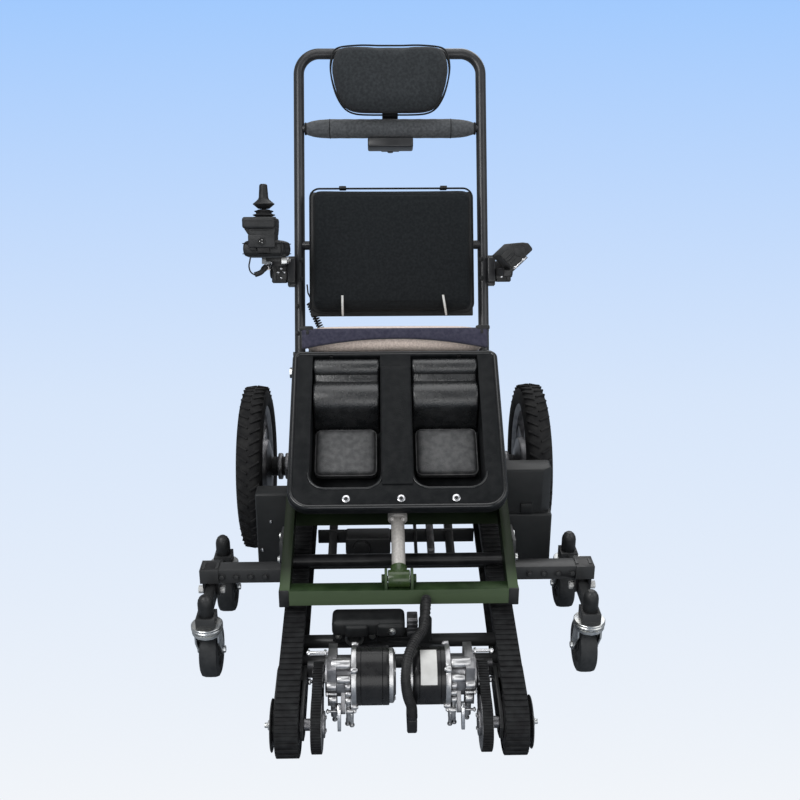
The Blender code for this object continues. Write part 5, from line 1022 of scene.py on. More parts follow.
ready(tube_pieces, "strut_tube_surface", "strut_upper", BRUSHED, AXLE, node="strut_tube")

# Seat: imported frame, a mesh-topped cushion with a dark front band
dressed("seat_frame", 0.001)
SEAT_HALF = 0.19
SEAT_BACK = 0.022
SEAT_FRONT = 0.382
SEAT_LOW = -0.009
SEAT_HIGH = 0.041


def pillow(x, ahead, up, corner, crown, cuts=6, thin=2, face=1, pull=0.0, levels=2):
    """A stuffed form: a cage with drawn-in sides, crowned on one face, smoothed by subdivision."""
    clear()
    bpy.ops.mesh.primitive_cube_add(size=2.0)
    piece = bpy.context.object
    edit(piece, lambda: bpy.ops.mesh.subdivide(number_cuts=cuts))
    half = [(x[1] - x[0]) / 2, (ahead[1] - ahead[0]) / 2, (up[1] - up[0]) / 2]
    middle = point((x[0] + x[1]) / 2, (ahead[0] + ahead[1]) / 2, (up[0] + up[1]) / 2)
    wide = [i for i in range(3) if i != thin]
    for vertex in piece.data.vertices:
        co = vertex.co
        share = [abs(co[i]) for i in range(3)]
        dome = math.prod(1 - share[i] ** 4 for i in wide)
        edge = 1 - share[thin] ** 2
        out = Vector(co)
        for i in wide:
            other = wide[1 - wide.index(i)]
            inset = pull * (1 - share[other] ** 2) + corner * (1 - edge) * 0.55
            if share[i] > 0.5:
                out[i] = math.copysign(abs(co[i]) - inset / half[i] * share[i] ** 3, co[i])
        out[thin] = co[thin] * (1 + (crown / half[thin]) * dome * (1 if co[thin] * face > 0 else 0.15))
        vertex.co = Vector([out[i] * half[i] for i in range(3)]) + middle
    use(piece, "BEVEL", width=corner * 0.6, segments=2, limit_method="ANGLE", angle_limit=math.radians(60),
        use_clamp_overlap=True)
    return softened(piece, levels)


def stuffed(piece, voxel=0.006, pressure=4.0, cap=0.01):
    """Swells a pad with the cloth solver, each point held to within a cap of its place."""
    use(piece, "REMESH", mode="VOXEL", voxel_size=voxel)
    before = [vertex.co.copy() for vertex in piece.data.vertices]
    modifier = piece.modifiers.new("cloth", "CLOTH")
    settings = modifier.settings
    settings.quality = 4
    settings.mass = 0.3
    settings.use_pressure = True
    settings.uniform_pressure_force = pressure
    settings.tension_stiffness = 20
    settings.compression_stiffness = 20
    settings.bending_stiffness = 0.6
    settings.effector_weights.gravity = 0
    modifier.collision_settings.use_collision = False
    modifier.collision_settings.use_self_collision = False
    scene = bpy.context.scene
    for number in range(1, 21):
        scene.frame_set(number)
    pick(piece)
    bpy.ops.object.modifier_apply(modifier=modifier.name)
    scene.frame_set(1)
    for vertex, home in zip(piece.data.vertices, before):
        moved = vertex.co - home
        if moved.length > cap:
            vertex.co = home + moved * (cap / moved.length)
    use(piece, "SMOOTH", factor=0.5, iterations=3)
    return softened(piece, 1)


cushion = pillow((-SEAT_HALF + 0.004, SEAT_HALF - 0.004), (SEAT_BACK + 0.004, SEAT_FRONT - 0.004),
    (SEAT_LOW, SEAT_HIGH - 0.004), 0.024, 0.004)
stuffed(cushion, cap=0.005)
cushion = ready(cushion, "seat_cushion_surface", "seat", SEAT_MESH, SEAT, 60, node="seat_cushion")
band_edge = [(0.185 * i / 10, -0.004 + 0.02 * (1 - (i / 10) ** 2)) for i in range(-10, 11)]
band = outline([(-x, up) for x, up in [(-0.185, 0.0372)] + band_edge + [(0.185, 0.0372)]], (0.366, 0.3856))
band.data.transform(Matrix.Rotation(-math.pi / 2, 4, "Z"))
edged(band, 0.0045, 4, 50)
ready(band, "seat_front_band", "seat", NAVY, SEAT)
clips = []
for side in (-1, 1):
    clips.append(block(span(side, 0.162, 0.189), (0.366, 0.386), (0.033, 0.042), 0.003))
    clips.append(block(span(side, 0.17, 0.176), (0.374, 0.387), (0.025, 0.034), 0.002))
ready(clips, "seat_strap_clips", "seat", PLASTIC, SEAT)

# Leg tray: a moulded tub with two wells, a rounded lip and screws along its front
TRAY_HALF = 0.202
TRAY_TOP = -0.004
TRAY_END = 0.341
FACE = 0.011
WELL_IN = 0.03
WELL_OUT = 0.162
WELL_START = 0.029
WELL_END = 0.296
WELL_FLOOR = FACE - 0.085
WALL = 0.004


def rounded_sheet(x, t, low_corner, high_corner, steps=8):
    """Rounded rectangle in the tray's face, as (x, t) points."""
    points = []
    for cx, ct, r, start in ((x[1], t[1], low_corner, 0), (x[0], t[1], low_corner, 90),
            (x[0], t[0], high_corner, 180), (x[1], t[0], high_corner, 270)):
        sx = -1 if cx == x[1] else 1
        st = -1 if ct == t[1] else 1
        for i in range(steps + 1):
            angle = math.radians(start + 90 * i / steps)
            points.append((cx + sx * r + r * math.cos(angle), ct + st * r + r * math.sin(angle)))
    return points


def carved(base, tool, operation="DIFFERENCE"):
    """Cuts or joins a tool solid, and removes it."""
    modifier = base.modifiers.new("shape", "BOOLEAN")
    modifier.operation = operation
    modifier.object = tool
    pick(base)
    bpy.ops.object.modifier_apply(modifier=modifier.name)
    drop(tool)
    return base


tray = outline(rounded_sheet((-TRAY_HALF, TRAY_HALF), (TRAY_TOP, TRAY_END), 0.04, 0.016),
    (FACE - 0.022, FACE), "Z")
edged(tray, 0.0055, 4)
ROLL_START = 0.0105
for side in (-1, 1):
    carved(tray, block(span(side, WELL_IN - WALL, WELL_OUT + WALL), (WELL_START - WALL, WELL_END + WALL),
        (WELL_FLOOR - WALL, FACE - 0.008), 0.006, 3), "UNION")
for side in (-1, 1):
    carved(tray, outline(rounded_sheet(span(side, WELL_IN, WELL_OUT), (WELL_START, WELL_END), 0.03, 0.008, 8),
        (WELL_FLOOR, FACE + 0.01), "Z"))
    carved(tray, block(span(side, WELL_IN, WELL_OUT), (ROLL_START - 0.002, WELL_START + 0.004),
        (FACE - 0.015, FACE + 0.01), 0))
    carved(tray, block(span(side, 0.1225, 0.1305), (TRAY_TOP - 0.01, 0.009), (FACE - 0.03, FACE + 0.01), 0))
edged(tray, 0.0022, 3, 40)
hinge_pins = [across(span(side, 0.1135, 0.1395), (0, 0), 0.004, 24) for side in (-1, 1)]
ready([tray] + hinge_pins, "leg_tray_shell", "tray", TRAY_VINYL, TRAY, node="leg_tray")
beads = []
bead_path = rounded_sheet((-TRAY_HALF + 0.006, TRAY_HALF - 0.006), (TRAY_TOP + 0.006, TRAY_END - 0.006),
    0.036, 0.012, 10)
beads.append(tube([(x, t, FACE - 0.0022) for x, t in bead_path], 0.0048, 5, True))
for side in (-1, 1):
    edge = span(side, WELL_IN - 0.003, WELL_OUT + 0.003)
    low_edge = [p for p in rounded_sheet(edge, (WELL_START + 0.006, WELL_END + 0.003), 0.032, 0.001, 10)][:22]
    beads.append(tube([(x, t, FACE - 0.0005) for x, t in low_edge], 0.0022, 4))
ready(beads, "leg_tray_beads", "tray", RIM_VINYL, TRAY)
screws = []
centres = []
for x in (-0.094, 0.006, 0.106):
    screws.append(turned([(0.0034, 0.0), (0.0072, 0.0), (0.0072, 0.0016), (0.0062, 0.0022), (0.0034, 0.0022)],
        (x, 0.32, FACE - 0.0006), (0, 0, 1), 32))
    centres.append(pin((x, 0.32, FACE - 0.0008), (x, 0.32, FACE + 0.001), 0.0036, 24, 0.0004))
ready(screws, "leg_tray_washers", "tray", STEEL, TRAY)
ready(centres, "leg_tray_screws", "tray", PLASTIC, TRAY)

ROLLS = ((0.028, 0.018, FACE + 0.003, 150, 10), (0.088, 0.033, FACE - 0.001, 150, 0))
PAD_START = 0.142
PAD_STOP = 0.242
PAD_UP = WELL_FLOOR + 0.034


def calf_rolls(side):
    """Two upholstered rolls down the well, the upper one over its edge, over a sloping base."""
    deep = WELL_FLOOR + 0.0003
    step = FACE - 0.0145
    profile = [(WELL_START + 0.001, deep), (WELL_START + 0.001, step), (ROLL_START, step)]
    for centre, radius, crest, first, last in ROLLS:
        for i in range(17):
            angle = math.radians(first + (last - first) * i / 16)
            profile.append((centre + radius * math.cos(angle), crest - radius + radius * math.sin(angle)))
    profile += [(PAD_START - 0.006, deep + 0.01), (PAD_START - 0.004, deep)]
    piece = outline(profile, span(side, WELL_IN + 0.002, WELL_OUT - 0.002))
    return edged(piece, 0.0045, 4, 55)


def foot_pad(side):
    pad = pillow(span(side, WELL_IN + 0.008, WELL_OUT - 0.006), (PAD_START, PAD_STOP),
        (WELL_FLOOR + 0.0006, PAD_UP - 0.002), 0.01, 0.002, 5, levels=1)
    return softened(pad, 1)


rolls = ready([calf_rolls(side) for side in (-1, 1)], "calf_rolls", "tray", ROLL_VINYL, TRAY, 50,
    node="leg_cushion")
for side_name, side_sign in SIDES.items():
    pad = ready(foot_pad(side_sign), f"foot_pad_{side_name}", "tray", FOOT_PAD, TRAY, 60)
    x = span(side_sign, WELL_IN + 0.008, WELL_OUT - 0.006)
    welt = tube([(px, pt, PAD_UP - 0.0105) for px, pt in rounded_sheet((x[0] + 0.0005, x[1] - 0.0005),
        (PAD_START + 0.0005, PAD_STOP - 0.0005), 0.012, 0.012)], 0.0013, 3, True)
    ready(welt, f"foot_pad_{side_name}_welt", "tray", FOOT_PAD, TRAY)
ridge = pillow((-WELL_IN + 0.001, WELL_IN - 0.001), (WELL_START + 0.006, WELL_END - 0.004),
    (FACE + 0.0003, FACE + 0.004), 0.003, 0.0008, 4, levels=1)
ready(ridge, "leg_tray_ridge_cover", "tray", TRAY_VINYL, TRAY, 50)

# Back: bent tube with its cross tubes, board, cushion, bolster and headrest
BACK_X = 0.2175
TUBE_R = 0.0125
BACK_TOP = 0.732 - TUBE_R
BEND_R = 0.05
CROSS_V = 0.258
BOLSTER_V = 0.538
STEM_BEHIND = 0.035
ARM_PIVOT = (0.014, 0.2)
route = [(-BACK_X, 0, -0.016), (-BACK_X, 0, BACK_TOP - BEND_R)]
for i in range(1, 15):
    angle = math.pi - i * math.pi / 30
    route.append((-BACK_X + BEND_R + BEND_R * math.cos(angle), 0,
        BACK_TOP - BEND_R + BEND_R * math.sin(angle)))
route += [(-x, ahead, up) for x, ahead, up in reversed(route)]
pieces = [tube(route, TUBE_R, 8), across((-BACK_X, BACK_X), (0, CROSS_V), 0.0105, 40),
    across((-BACK_X, BACK_X), (0, BOLSTER_V), 0.009, 40), block((-0.022, 0.022),
    (-STEM_BEHIND - 0.012, -0.025), (0.495, BOLSTER_V + 0.02), 0.002),
    block((-0.054, 0.054), (-0.029, 0.0138), (0.491, 0.514), 0.004, 3),
    pin((0, 0, BOLSTER_V), (0, -STEM_BEHIND, BOLSTER_V), 0.006, 24)]
for side in (-1, 1):
    pieces.append(block(span(side, 0.2262, 0.2452), (-0.0114, 0.0114), (0.1602, 0.2308), 0.0018))
    pieces.append(block(span(side, 0.2262, 0.2452), (-0.0125, 0.0235), (0.165, 0.225), 0.003, 3))
    pieces.append(across(span(side, 0.23, 0.2457), ARM_PIVOT, 0.0085, 32))
    pieces.append(across(span(side, 0.245, 0.276), ARM_PIVOT, 0.006, 32))
ready(pieces, "back_frame_surface", "back", BACK_PAINT, BACK, node="back_frame")
tube_bolts = []
for x, v in ((-0.212, 0.221), (-0.212, 0.176), (-0.223, 0.112), (-0.223, 0.048), (0.223, 0.052),
        (0.212, 0.221), (0.212, 0.176)):
    tube_bolts.append(((x, TUBE_R - 0.0006, v), FORWARD, 0.004))
fastened("back_tube_bolts", "back", BACK, tube_bolts, PLASTIC)
dressed("back_board", 0.0015)
dressed("headrest_stem", 0.001)

CUSHION_HALF = 0.191
CUSHION_LOW = 0.09
CUSHION_HIGH = 0.384
CUSHION_REAR = 0.0194
CUSHION_FRONT = 0.0714
cushion = pillow((-CUSHION_HALF + 0.003, CUSHION_HALF - 0.003), (CUSHION_REAR, CUSHION_FRONT - 0.004),
    (CUSHION_LOW + 0.003, CUSHION_HIGH - 0.003), 0.02, 0.003, 6, 1, -1)
stuffed(cushion, cap=0.005)
cushion = ready(cushion, "back_cushion_surface", "back", BACK_CLOTH, BACK, 60, node="back_cushion")
inner = pillow((-0.178, 0.178), (CUSHION_FRONT - 0.012, CUSHION_FRONT + 0.001), (0.112, 0.362), 0.012, 0.002,
    5, 1, -1)
inner = ready(inner, "back_cushion_panel", "back", BACK_CLOTH, BACK, 60)
piping = [tube([(x, CUSHION_FRONT - 0.0088, v) for x, v in rounded_sheet((-0.178, 0.178), (0.112, 0.362),
    0.02, 0.02)], 0.0013, 3, True), tube([(x, CUSHION_REAR + 0.026, v) for x,
    v in rounded_sheet((-CUSHION_HALF + 0.0015, CUSHION_HALF - 0.0015),
    (CUSHION_LOW + 0.0015, CUSHION_HIGH - 0.0015), 0.022, 0.022)], 0.0022, 3, True)]
ready(piping, "back_cushion_piping", "back", BINDING, BACK)


def webbing(points, width, thickness=0.0014):
    """A flat strap along (x, ahead, up) points, its width across X."""
    clear()
    bpy.ops.mesh.primitive_grid_add(x_subdivisions=1, y_subdivisions=len(points) - 1)
    strap = bpy.context.object
    rows = sorted(set(round(vertex.co.y, 5) for vertex in strap.data.vertices))
    for vertex in strap.data.vertices:
        spot = points[rows.index(round(vertex.co.y, 5))]
        vertex.co = point(spot[0] + math.copysign(width / 2, vertex.co.x), spot[1], spot[2])
    return use(strap, "SOLIDIFY", thickness=thickness, offset=0.0)


front = CUSHION_FRONT + 0.0005
STRAP_LINES = ([(-0.1145, 0.001, 0.128), (-0.1145, 0.0015, 0.112), (-0.1145, -0.004, 0.096),
    (-0.1145, -0.022, 0.084)], [(0.117, 0.001, 0.128), (0.1195, 0.0015, 0.112), (0.1225, -0.004, 0.096),
    (0.1255, -0.022, 0.084)])
straps = [webbing([(x, front + out, v) for x, out, v in line], 0.0092) for line in STRAP_LINES]
ready(straps, "back_cushion_strap_edges", "back", BINDING, BACK)
straps = [webbing([(x, front + out + 0.0007, v) for x, out, v in line], 0.0048) for line in STRAP_LINES]
ready(straps, "back_cushion_straps", "back", PALE, BACK)
clips = [block((x - 0.0082, x + 0.0082), (front - 0.033, front - 0.013),
    (CUSHION_HIGH - 0.005, CUSHION_HIGH + 0.002), 0.0018, 3) for x in (-0.113, 0.122)]
ready(clips, "back_cushion_clips", "back", PLASTIC, BACK)

bolster_half = 0.2044
sections = [(0.0098, -bolster_half)]
for i in range(25):
    share = i / 24
    x = -bolster_half + 2 * bolster_half * share
    edge = min(1.0, min(share, 1 - share) / 0.12)
    sections.append((0.0128 + 0.0102 * edge ** 0.5 - 0.0006 * (i % 2), x))
sections.append((0.0098, bolster_half))
bolster = turned(sections, (0, 0, BOLSTER_V), (1, 0, 0), 40)
stuffed(bolster, 0.005, 2.0, 0.002)
bolster = ready(bolster, "bolster_surface", "back", BOLSTER_CLOTH, BACK, 60, node="bolster")
gathers = []
for side in (-1, 1):
    gathers.append(turned([(0.01, 0.0), (0.014, 0.0), (0.015, 0.002), (0.014, 0.0045), (0.01, 0.0045)],
        (side * (bolster_half - 0.005), 0, BOLSTER_V), (side, 0, 0), 40))
    gathers.append(turned([(0.02, 0.0), (0.0228, 0.0006), (0.0232, 0.0014), (0.0228, 0.0022), (0.02, 0.0028)],
        (side * (bolster_half - 0.062), 0, BOLSTER_V), (side, 0, 0), 48))
ready(gathers, "bolster_bindings", "back", BINDING, BACK)

HEAD_LOW = 0.558
HEAD_HIGH = 0.72
HEAD_HALF = 0.142
HEAD_REAR = 0.024
HEAD_T = 0.056
HEAD_OUTLINE = ((0.3, 0.0), (0.58, 0.015), (0.76, 0.09), (0.89, 0.26), (0.97, 0.48), (1.0, 0.68),
    (0.965, 0.86), (0.86, 0.965), (0.52, 1.0), (0.2, 0.995))


def shield(shrink, depth_from, depth_to, rings):
    """A padded shield shape, lofted from scaled outlines."""
    height = HEAD_HIGH - HEAD_LOW
    edge = smooth_route([(HEAD_HALF * x, 0, HEAD_LOW + height * up) for x, up in HEAD_OUTLINE], 5)
    edge = [(p.x, p.z) for p in edge]
    edge += [(-x, up) for x, up in reversed(edge)]
    middle = HEAD_LOW + height * 0.52
    clear()
    bpy.ops.mesh.primitive_circle_add(vertices=len(edge), fill_type="NOTHING")
    piece = bpy.context.object

    def set_ring(vertices, share, depth):
        for vertex, (x, up) in zip(vertices, edge):
            vertex.co = point(x * share * shrink, depth_from + (depth_to - depth_from) * depth,
                middle + (up - middle) * share * shrink)

    set_ring(piece.data.vertices, *rings[0])
    count = len(edge)
    for share, depth in rings[1:]:
        bpy.ops.object.mode_set(mode="EDIT")
        bpy.ops.mesh.extrude_edges_move(TRANSFORM_OT_translate={"value": (0, -0.001, 0)})
        bpy.ops.object.mode_set(mode="OBJECT")
        set_ring(list(piece.data.vertices)[-count:], share, depth)
    bpy.ops.object.mode_set(mode="EDIT")
    bpy.ops.mesh.select_all(action="SELECT")
    bpy.ops.mesh.remove_doubles(threshold=1e-6)
    bpy.ops.mesh.select_all(action="DESELECT")
    bpy.ops.mesh.select_non_manifold()
    bpy.ops.mesh.edge_face_add()
    bpy.ops.mesh.select_all(action="SELECT")
    bpy.ops.mesh.normals_make_consistent(inside=False)
    bpy.ops.object.mode_set(mode="OBJECT")
    return piece


def head_pad():
    rings = [(0.8, 0.0), (0.93, 0.04), (0.99, 0.16), (1.0, 0.34), (0.985, 0.55), (0.94, 0.76), (0.86, 0.9),
        (0.72, 0.97), (0.45, 1.0)]
    return softened(shield(0.985, HEAD_REAR, HEAD_REAR + HEAD_T - 0.004, rings), 1)


head = head_pad()
stuffed(head, cap=0.004)
head = ready(head, "headrest_pad_surface", "headrest", HEAD_CLOTH, BACK, 60, node="headrest_pad")
height = HEAD_HIGH - HEAD_LOW
seam = smooth_route([(HEAD_HALF * x, 0, HEAD_LOW + height * up) for x, up in HEAD_OUTLINE], 6)
seam = [(p.x, p.z) for p in seam]
seam += [(-x, up) for x, up in reversed(seam)]
middle_v = HEAD_LOW + height * 0.52
welts = [tube([(x * 0.984, HEAD_REAR + depth, middle_v + (up - middle_v) * 0.984) for x, up in seam], 0.002,
    3, True) for depth in (0.012, 0.03)]
ready(welts, "headrest_welts", "headrest", BINDING, BACK)

# Armrests: knuckles, bars and pads in the arms' own frame, which leans ahead on the back
ARM_TILT = math.radians(10.3)
ARM = BACK @ Matrix.Translation(point(0, *ARM_PIVOT)) @ Matrix.Rotation(ARM_TILT, 4, "X")
ARM_IN = 0.246
KNUCKLE_W = 0.036
KNUCKLE_FRONT = 0.0085
ARM_PAD_START = 0.047
ARM_PAD_END = 0.212
LEFT_PAD_AT = (0.2772, 0.046)
LEFT_PAD_SIZE = (0.0915, 0.036)
RIGHT_PAD_AT = (0.2675, 0.0353)
RIGHT_PAD_SIZE = (0.0635, 0.04)
RIGHT_ROLL = math.radians(43.0)
RIGHT_CAP_AT = (0.0055, -0.001)


def along_arm(points, ahead):
    """An (x, up) outline raised along the arm."""
    piece = outline([(-x, up) for x, up in points], ahead)
    piece.data.transform(Matrix.Rotation(-math.pi / 2, 4, "Z"))
    return piece


def on_roll(u, n, ahead):
    """A place across and out from the right pad's centre line, as (x, ahead, up)."""
    turn = RIGHT_ROLL
    return (RIGHT_PAD_AT[0] + u * math.cos(turn) - n * math.sin(turn), ahead,
        RIGHT_PAD_AT[1] + u * math.sin(turn) + n * math.cos(turn))


def roll_block(u, ahead, n, bevel=0.001):
    """A block set square to the right pad."""
    piece = block(u, ahead, n, bevel)
    piece.data.transform(Matrix.Translation(point(RIGHT_PAD_AT[0], 0, RIGHT_PAD_AT[1]))
        @ Matrix.Rotation(-RIGHT_ROLL, 4, "Y"))
    return piece


def arm_knuckle(name, side):
    """Screws, steps and a cover on the knuckle's faces."""
    body = f"{name}_armrest"
    dressed(f"arm_{name}", 0.0012)
    front = KNUCKLE_FRONT
    steps = [block(span(side, ARM_IN + 0.001, ARM_IN + 0.025), (front - 0.004, front + 0.0016),
        (-0.026, -0.004), 0.0012), block(span(side, ARM_IN + 0.026, ARM_IN + 0.035),
        (front - 0.004, front + 0.001), (-0.03, 0.012), 0.001)]
    ready(steps, f"arm_{name}_knuckle_steps", body, BLACK, ARM)
    screws = [round_screw((side * (ARM_IN + x), front + 0.0012, up), FORWARD, 0.003, 0.0022) for x,
        up in ((0.006, -0.008), (0.02, -0.008), (0.013, -0.021))]
    ready(screws, f"arm_{name}_knuckle_screws", body, STEEL, ARM)
    cover = turned([(0.0, 0.0), (0.015, 0.0), (0.016, 0.0012), (0.016, 0.0026), (0.0125, 0.004),
        (0.0, 0.0042)], (side * (ARM_IN + KNUCKLE_W - 0.0002), 0, -0.006), (side, 0, 0), 48)
    ready(cover, f"arm_{name}_pivot_cover", body, PLASTIC, ARM)


def left_arm():
    body = "left_armrest"
    arm_knuckle("left", -1)
    wide, thick = LEFT_PAD_SIZE
    x = (-LEFT_PAD_AT[0] - wide / 2, -LEFT_PAD_AT[0] + wide / 2)
    low = LEFT_PAD_AT[1] - thick / 2
    pad = pillow((x[0] + 0.0008, x[1] - 0.0008), (ARM_PAD_START + 0.001, ARM_PAD_END - 0.0008),
        (low, low + thick - 0.001), 0.006, 0.0008, 5, levels=2)
    stuffed(pad, 0.004, 3.0, 0.0015)
    made = ready(pad, "arm_pad_left_surface", body, PAD_VINYL, ARM, 60, node="arm_pad_left")
    seams = [tube([(px, pt, up) for px, pt in rounded_sheet((x[0] + 0.0004, x[1] - 0.0004),
        (ARM_PAD_START + 0.0006, ARM_PAD_END - 0.0003), 0.01, 0.01)], 0.001, 3, True)
        for up in (low + 0.007, low + 0.029)]
    seams.append(block((x[1] - 0.0085, x[1] - 0.006), (ARM_PAD_END - 0.004, ARM_PAD_END + 0.0008),
        (low + 0.003, low + thick - 0.003), 0.0006))
    ready(seams, "arm_pad_left_seams", body, BINDING, ARM)
    plates = [block((-0.29, -0.236), (0.062, 0.135), (0.0125, 0.0272), 0.001),
        block((-0.288, -0.234), (0.134, 0.1372), (0.014, 0.027), 0.0008)]
    for ahead in (0.078, 0.118):
        plates.append(hex_bolt((-0.236, ahead, 0.02), (1, 0, 0), 0.0045, 0.0036))
    ready(plates, "arm_left_clamp_plate", body, ZINC, ARM)
    bush = [pin((-0.28, 0.118, 0.002), (-0.28, 0.118, 0.018), 0.0068, 32)]
    for i in range(5):
        bush.append(turned([(0.006, 0.0), (0.0076, 0.0006), (0.0076, 0.0012), (0.006, 0.0018)],
            (-0.28, 0.118, 0.003 + 0.0028 * i), (0, 0, 1), 32))
    bush.append(pin((-0.28, 0.118, -0.001), (-0.28, 0.118, 0.002), 0.009, 6))
    ready(bush, "arm_left_threaded_bush", body, STEEL, ARM)
    bits = [round_screw((-0.233, 0.136, 0.025), FORWARD, 0.0036, 0.0026),
        round_screw((-0.268, 0.1376, 0.015), FORWARD, 0.0034, 0.0026),
        round_screw((-0.259, 0.012, 0.001), FORWARD, 0.0036, 0.003)]
    ready(bits, "arm_left_bright_screws", body, STEEL, ARM)


def right_arm():
    body = "right_armrest"
    arm_knuckle("right", 1)
    half_u = RIGHT_PAD_SIZE[0] / 2 - 0.0006
    half_n = RIGHT_PAD_SIZE[1] / 2 - 0.0006
    section = [(-half_u, half_n), (0.008, half_n), (half_u - 0.008, half_n - 0.012), (half_u, -0.002),
        (half_u - 0.001, -half_n + 0.003), (half_u - 0.004, -half_n), (-half_u, -half_n)]
    pad = along_arm([(u, n) for u, n in section], (ARM_PAD_START + 0.001, ARM_PAD_END - 0.0008))
    pad.data.transform(Matrix.Translation(point(RIGHT_PAD_AT[0], 0, RIGHT_PAD_AT[1]))
        @ Matrix.Rotation(-RIGHT_ROLL, 4, "Y"))
    edged(pad, 0.0035, 5, 12)
    made = ready(pad, "arm_pad_right_surface", body, PAD_VINYL, ARM, 50, node="arm_pad_right")
    end = ARM_PAD_END - 0.0012
    grooves = [roll_block((-0.029, -0.006), (end - 0.003, end + 0.0016), (n, n + 0.0036), 0.0012)
        for n in (0.006, -0.001, -0.008)]
    ready(grooves, "arm_pad_right_ridges", body, PAD_VINYL, ARM)
    cap_at = on_roll(*RIGHT_CAP_AT, end)
    cap = [pin((cap_at[0], end - 0.002, cap_at[2]), (cap_at[0], end + 0.0026, cap_at[2]), 0.0118, 48, 0.0012),
        pin((cap_at[0], end, cap_at[2]), (cap_at[0], end + 0.0032, cap_at[2]), 0.0085, 48, 0.0008)]
    ready(cap, "arm_pad_right_end_cap", body, CONTROL_PLASTIC, ARM)
    strip = [roll_block((-0.029, 0.008), (0.06, end + 0.0022), (-0.0226, -0.0196), 0.0008)]
    for u in (-0.024, -0.001):
        at = on_roll(u, -0.0206, end + 0.0018)
        strip.append(round_screw(at, FORWARD, 0.0036, 0.0028))
    ready(strip, "arm_pad_right_strip", body, STEEL, ARM)
    nuts = [across((0.2812, 0.2852), (0.002, up), 0.0042, 6, 0.0005) for up in (-0.003, -0.018)]
    ready(nuts, "arm_right_nuts", body, PLASTIC, ARM)


left_arm()
right_arm()

# Controller, boot and stick on the left pad
CTRL_BASE = LEFT_PAD_AT[1] + LEFT_PAD_SIZE[1] / 2 + 0.0003
NECK_UP = CTRL_BASE + 0.0238
CTRL_TOP = NECK_UP + 0.0245
CONTROLLER_X = (-0.32, -0.25)
CONTROLLER_AHEAD = (0.125, 0.23)
NECK_X = (-0.309, -0.251)
STICK_AT = (-0.2765, 0.192, CTRL_TOP)


